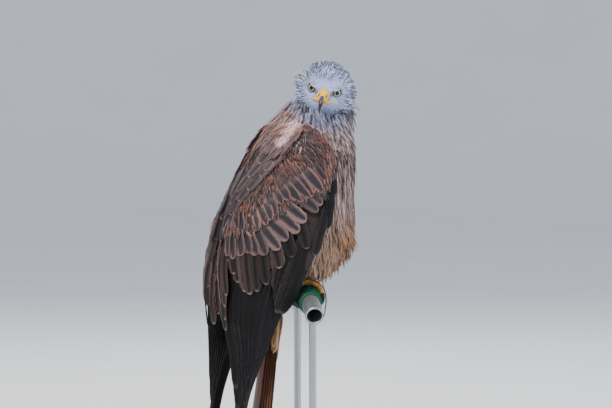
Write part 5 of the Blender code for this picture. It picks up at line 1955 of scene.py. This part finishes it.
def build_cere():
    """Waxy yellow skin round the base of the bill, with its nostrils and the gape's corners."""
    skin, n, shader = new_material(
        "cere_skin",
        {
            "Roughness": 0.42, "Subsurface Weight": 0.06,
            "Subsurface Radius": (0.003, 0.0015, 0.0006),
        },
    )
    place = n.place()
    grain = n.noise(place, 1100.0, 3.0)
    colour = n.mix(grain, srgb(246, 176, 2), srgb(255, 204, 16))
    pits = 0.0
    # Each nostril is painted, not cut: a deep orange rim and a dark pit, the pit's darkness being
    # painted shade of the opening
    for side in (-1, 1):
        forward, out, up = NOSTRIL_PLACE
        away = n.reach(place, on_head(forward, side * out, up))
        colour = n.mix(n.span(away, 0.0016, 0.0034, 1.0, 0.0), colour, srgb(178, 84, 4))
        pit = n.span(away, 0.0009, 0.0018, 1.0, 0.0)
        colour = n.mix(pit, colour, srgb(74, 30, 6))
        pits = n.plus(pits, pit)
    paint(n, shader, colour, n.minus(grain, pits), 0.3, 0.4)
    parts = [loft("cere_part", bill_rings(CERE_SECTIONS, 0.1))]
    for side in (-1, 1):
        gape = [on_head(forward, side * out, up) for forward, out, up in GAPE_PLACES]
        parts.append(limb("gape_part", gape, GAPE_RADII, 16, flat=0.8, fine=5))
    finished(fused("cere_detail", parts, 0.4, skin), "cere_skin", "cere")


def build_bill():
    """The horn of the bill: black at its hook, paler at its base, waxy along its cutting edge."""
    horn, n, shader = new_material("bill_horn", {"Roughness": 0.36, "Coat Weight": 0.12})
    place = n.place()
    left, ahead, rise = (
        n.along(place, HEAD_MIDDLE, HEAD_TURN @ np.array(way, float))
        for way in ((1, 0, 0), (0, -1, 0), (0, 0, 1))
    )
    away = n.reach(place, on_head(BILL_BASE + 10, 0, 0))
    grain = n.noise(place, 700.0, 3.0)
    colour = n.mix(n.span(away, 0.004, 0.018), srgb(74, 80, 100), srgb(16, 16, 20))
    colour = n.mix(n.times(grain, 0.3), colour, srgb(40, 40, 48))
    waxy = n.times(n.span(n.math("ABSOLUTE", left), 0.0020, 0.0030),
        n.span(ahead, (BILL_BASE + 18) * MM, (BILL_BASE + 22) * MM, 1.0, 0.0),
    )
    waxy = n.times(waxy, n.span(rise, -0.0135, -0.0115))
    paint(n, shader, n.mix(waxy, colour, srgb(236, 166, 12)), grain, 0.15, 0.2)
    for name, sections in (("bill_upper", UPPER_SECTIONS), ("bill_lower", LOWER_SECTIONS)):
        finished(loft(f"{name}_detail", bill_rings(sections), horn), "horn", name)


# Legs and straps

def tarsus_path(side):
    return [
        on_perch(-side * FOOT_ALONG, 0, 4.6) + np.array([0, 0.36 * rise, rise]) * MM
        for rise in (0, 6, 20, 34)
    ]


def round_perch(along, spread, start, end, steps=6):
    """Places round the perch from one angle to another, moving along it by spread."""
    radius = TURF_RADIUS + TOE_RADIUS + 0.6
    places = []
    for s in np.linspace(0, 1, steps):
        angle = math.radians(start + (end - start) * s)
        here = along + spread * s
        drop = float(bow_drop(np.array(here)))
        places.append(
            on_perch(here, radius * math.sin(angle), radius * math.cos(angle) - TURF_RADIUS - drop)
        )
    return places


def build_legs():
    """Scaled feet whose toes grip the perch, each with its dark claw."""
    skin, n, shader = new_material("foot_skin", {"Roughness": 0.5})
    place = n.place()
    scutes = n.add(
        "ShaderNodeTexVoronoi", {"Vector": place, "Scale": 620.0}, feature="DISTANCE_TO_EDGE"
    ).outputs["Distance"]
    seam = n.span(scutes, 0.02, 0.14)
    colour = n.mix(n.noise(place, 160.0, 3.0), srgb(206, 152, 48), srgb(236, 190, 84))
    paint(n, shader, n.mix(seam, srgb(140, 96, 38), colour), seam, 0.6, 0.5)
    horn, n, shader = new_material("claw_horn", {"Roughness": 0.3})
    grain = n.noise(n.place(), 500.0, 3.0)
    paint(n, shader, n.mix(grain, srgb(12, 12, 14), srgb(40, 38, 42)))
    for side, word in SIDES:
        middle = -side * FOOT_ALONG
        parts = [limb("tarsus", tarsus_path(side), TARSUS_RADII, 24, fine=8)]
        for toe, aside, start, end, girth in TOES:
            spread = aside * -side
            radii = [TOE_RADIUS * girth * r for r in TOE_JOINTS]
            path = round_perch(middle, spread, start * 0.2, end)
            parts.append(limb("toe", path, radii, 18, fine=6))
            claw_end = end + math.copysign(CLAW_TURN, end)
            path = round_perch(middle + spread, 0.12 * spread, end, claw_end)
            made = limb(f"claw_detail_{word}_{toe}", path, CLAW_RADII, 16, horn, fine=5)
            finished(made, "horn", f"claw_{word}_{toe}")
        finished(fused(f"foot_detail_{word}", parts, 0.7, skin), "foot_skin", f"foot_{word}")


def leather(name, dark, light):
    material, n, shader = new_material(name, {"Roughness": 0.62})
    place = n.place()
    grain = n.noise(place, 700.0, 4.0, 0.65)
    colour = n.mix(n.noise(place, 60.0, 2.0), dark, light)
    paint(n, shader, n.mix(n.times(grain, 0.5), colour, dark), grain, 0.5, 0.4)
    return material


def build_straps():
    """A leather cuff round each leg and the strap that hangs from it over the perch."""
    hide = leather("strap_leather", srgb(58, 36, 26), srgb(122, 78, 52))
    pale = leather("anklet_leather", srgb(120, 134, 150), srgb(206, 220, 232))
    for side, word in SIDES:
        low, high = np.array(tarsus_path(side))[1:3]
        across = unit(np.cross(unit(high - low), np.array([0, 1.0, 0])))
        round_leg = circle(across, np.cross(unit(high - low), across), 40)

        def cuff(name, profile, finish):
            rings = [low + (high - low) * share + round_leg * radius * MM for radius, share in profile]
            return loft(name, rings, finish, tube=True)

        finished(cuff(f"anklet_detail_{word}", CUFF_PROFILE, hide), "strap", f"anklet_{word}")
        if side < 0:
            finished(cuff("anklet_band_right", BAND_PROFILE, pale), "strap")
        strap = [on_perch(-side * along, forward, up) for along, forward, up in STRAP_PLACES]
        made = limb(f"jess_detail_{word}", strap, STRAP_RADII, 16, hide, 0.5, 6)
        finished(made, "strap", f"jess_{word}")


# Perch and stand

def bow_ring(along, radius, sides=48):
    slope = math.asin(along / BOW_RADIUS)
    drop = float(bow_drop(np.array(along)))
    turn = full_turn(sides)
    rise = radius * np.cos(turn)
    return on_perch(
        along + rise * math.sin(slope), radius * np.sin(turn),
        rise * math.cos(slope) - TURF_RADIUS - drop,
    )


def bow_pipe(name, far, near, outer, inner, stations, finish, slot, node):
    """A pipe along the bow, as one closed shell through its bore."""
    places = np.linspace(far, near, stations)
    rings = [bow_ring(a, outer) for a in places] + [bow_ring(a, inner) for a in places[::-1]]
    finished(loft(name, rings, finish, tube=True), slot, node)


def build_perch():
    """The worn tube and its turf cover, with the turf's short pile."""
    metal, n, shader = new_material("perch_metal", {"Metallic": 0.85})
    place = n.place()
    worn = n.noise(place, 90.0, 4.0, 0.6)
    fine = n.noise(place, 900.0, 2.0)
    paint(n, shader, n.mix(worn, srgb(132, 138, 142), srgb(178, 182, 184)), fine, 0.15, 0.2)
    n.put(shader.inputs["Roughness"], n.plus(0.34, n.times(worn, 0.25)))
    bow_pipe(
        "perch_tube_detail", TUBE_FAR, TUBE_NEAR, TUBE_RADIUS, TUBE_RADIUS - TUBE_WALL, 60,
        metal, "perch_metal", "perch_tube",
    )
    turf, n, shader = new_material("perch_turf", {"Roughness": 0.8})
    place = n.place()
    tone = n.noise(place, 320.0, 4.0, 0.7)
    colour = n.mix(tone, srgb(8, 48, 30), srgb(26, 112, 72))
    colour = n.mix(n.noise(place, 40.0, 2.0), colour, srgb(16, 84, 62))
    paint(n, shader, colour, tone, 0.8, 1.0)
    bow_pipe(
        "turf_sleeve", TURF_FAR, TURF_NEAR, TURF_RADIUS - 1.4, TUBE_RADIUS + 0.3, 40,
        turf, "perch_turf", "perch_turf",
    )
    along = chances.uniform(TURF_FAR + 0.6, TURF_NEAR - 0.6, PILE_COUNT)
    around = chances.uniform(0, 2 * math.pi, PILE_COUNT)
    slope = np.arcsin(along / BOW_RADIUS)
    rise = PILE_ROOT * np.cos(around)
    roots = on_perch(
        along + rise * np.sin(slope), PILE_ROOT * np.sin(around),
        rise * np.cos(slope) - TURF_RADIUS - bow_drop(along),
    )
    middle = on_perch(along, 0 * along, -TURF_RADIUS - bow_drop(along))
    normals = unit(roots - middle)
    lies = unit(np.cross(normals, np.array([1.0, 0.2, 0.3])))
    lies = lies * np.sign(chances.uniform(-1, 1, PILE_COUNT))[:, None]
    uv = tile(1, 3, (along - TURF_FAR) / (TURF_NEAR - TURF_FAR), around / (2 * math.pi))
    lay_coat(
        "turf_pile", turf, roots, normals, lies, np.full(PILE_COUNT, 3.0),
        np.full(PILE_COUNT, 0.42), uv, "perch_turf", pitch=52.0, ruffle=14.0, bend=0.3,
        swing=60.0,
    )


def turned(profile, count):
    """Rings of a profile of radii and heights about the upright axis."""
    turn = full_turn(count)
    return [np.stack([r * np.cos(turn), r * np.sin(turn), 0 * turn + z], -1) for r, z in profile]


def build_stand():
    """The lacquered wooden base, and brushed steel for the two rods."""
    wood, n, shader = new_material("stand_wood", {"Roughness": 0.4, "Coat Weight": 0.25})
    x, y, z = n.split(n.place())

    def streaks(wide, long, scale, detail):
        stretched = n.combine(n.times(x, wide), n.times(y, long), z)
        return n.noise(stretched, scale, detail)

    fine = streaks(20.0, 600.0, 1.0, 3.0)
    colour = n.mix(streaks(6.0, 90.0, 1.6, 5.0), srgb(70, 44, 28), srgb(126, 84, 54))
    colour = n.mix(n.times(fine, 0.4), colour, srgb(58, 36, 24))
    paint(n, shader, colour, fine, 0.1, 0.3)
    base = loft("stand_base_detail", [ring * MM for ring in turned(BASE_PROFILE, 128)], wood)
    base.data.set_sharp_from_angle(angle=math.radians(35))
    finished(base, "stand_wood", "stand_base")
    steel, n, shader = new_material("stand_steel", {"Metallic": 1.0})
    brushed = n.noise(n.place(), 400.0, 4.0)
    paint(n, shader, n.mix(brushed, srgb(150, 150, 152), srgb(190, 190, 192)))
    n.put(shader.inputs["Roughness"], n.plus(0.25, n.times(brushed, 0.2)))
    for word in ("left", "right"):
        node = bpy.data.objects[f"stand_rod_{word}"]
        node.data.materials.clear()
        node.data.materials.append(steel)


# The studio and the camera

def build_stage():
    """A pale floor that rises into a wall all round, a soft sky and three lights."""
    material, n, shader = new_material("studio_floor", {"Roughness": 0.85})
    paint(n, shader, n.mix(n.noise(n.place(), 3.0, 2.0), srgb(236, 236, 234), srgb(243, 243, 242)))
    curve = np.radians(np.linspace(0, 90, 12))
    flat, bend, top, sides = 6.5, 2.5, 4.5, 96
    profile = [(0.01, 0.0), (flat, 0.0)]
    profile += [(flat + bend * math.sin(c), bend - bend * math.cos(c)) for c in curve[1:]]
    profile.append((flat + bend, top))
    rings = np.array(turned(profile, sides)) - np.array([0, 0, 0.0005])
    faces = []
    for k in range(len(rings) - 1):
        for i in range(sides):
            low, j = k * sides, (i + 1) % sides
            faces.append((low + i, low + j, low + sides + j, low + sides + i))
    place_mesh("studio_floor", rings, faces, material)
    world = bpy.data.worlds.new("studio")
    world.use_nodes = True
    sky = world.node_tree.nodes["Background"]
    sky.inputs["Color"].default_value = (0.74, 0.83, 1.0, 1)
    sky.inputs["Strength"].default_value = 0.8
    bpy.context.scene.world = world
    for name, place, size, power, tint in LIGHTS:
        data = bpy.data.lights.new(name, "AREA")
        data.size = size
        data.energy = power
        data.color = tint
        light = bpy.data.objects.new(name, data)
        bpy.context.scene.collection.objects.link(light)
        light.location = place
        aim = LIGHT_TARGET - Vector(place)
        light.rotation_euler = aim.to_track_quat("-Z", "Y").to_euler()


def build_camera():
    data = bpy.data.cameras.new("camera")
    data.lens = 200
    data.sensor_width = 36
    data.clip_end = 50
    camera = bpy.data.objects.new("camera", data)
    bpy.context.scene.collection.objects.link(camera)
    back = Vector((
        math.sin(CAMERA_TURN) * math.cos(CAMERA_RISE),
        -math.cos(CAMERA_TURN) * math.cos(CAMERA_RISE),
        math.sin(CAMERA_RISE),
    ))
    camera.location = CAMERA_TARGET + back * CAMERA_REACH
    camera.rotation_euler = (-back).to_track_quat("-Z", "Y").to_euler()
    bpy.context.scene.camera = camera


def main():
    def solids(slack, *names):
        """The solids' own shapes, read before they are replaced, which feathers keep out of."""
        return [(shape_tree(bpy.data.objects[name]), slack) for name in names]

    bill = solids(0.2, "eye_left", "eye_right", "cere", "bill_upper", "bill_lower")
    under_wings = solids(-2.0, "wing_left", "wing_right")
    clear_of_wings = solids(1.2, "wing_left", "wing_right")
    head, torso = solids(3.0, "head"), solids(3.0, "torso")
    build_skin()
    build_eyes()
    build_rims()
    build_brows()
    brow_coat()
    build_cere()
    build_bill()
    build_legs()
    build_straps()
    build_perch()
    build_stand()
    head_coat(bill)
    body_coats(bill + under_wings + head)
    thigh_coats(clear_of_wings + torso)
    lesser_coats()
    mantle_coats()
    wing_feathers()
    tail_feathers()
    bpy.data.objects.remove(SMALL_FEATHER)
    build_stage()
    build_camera()


main()
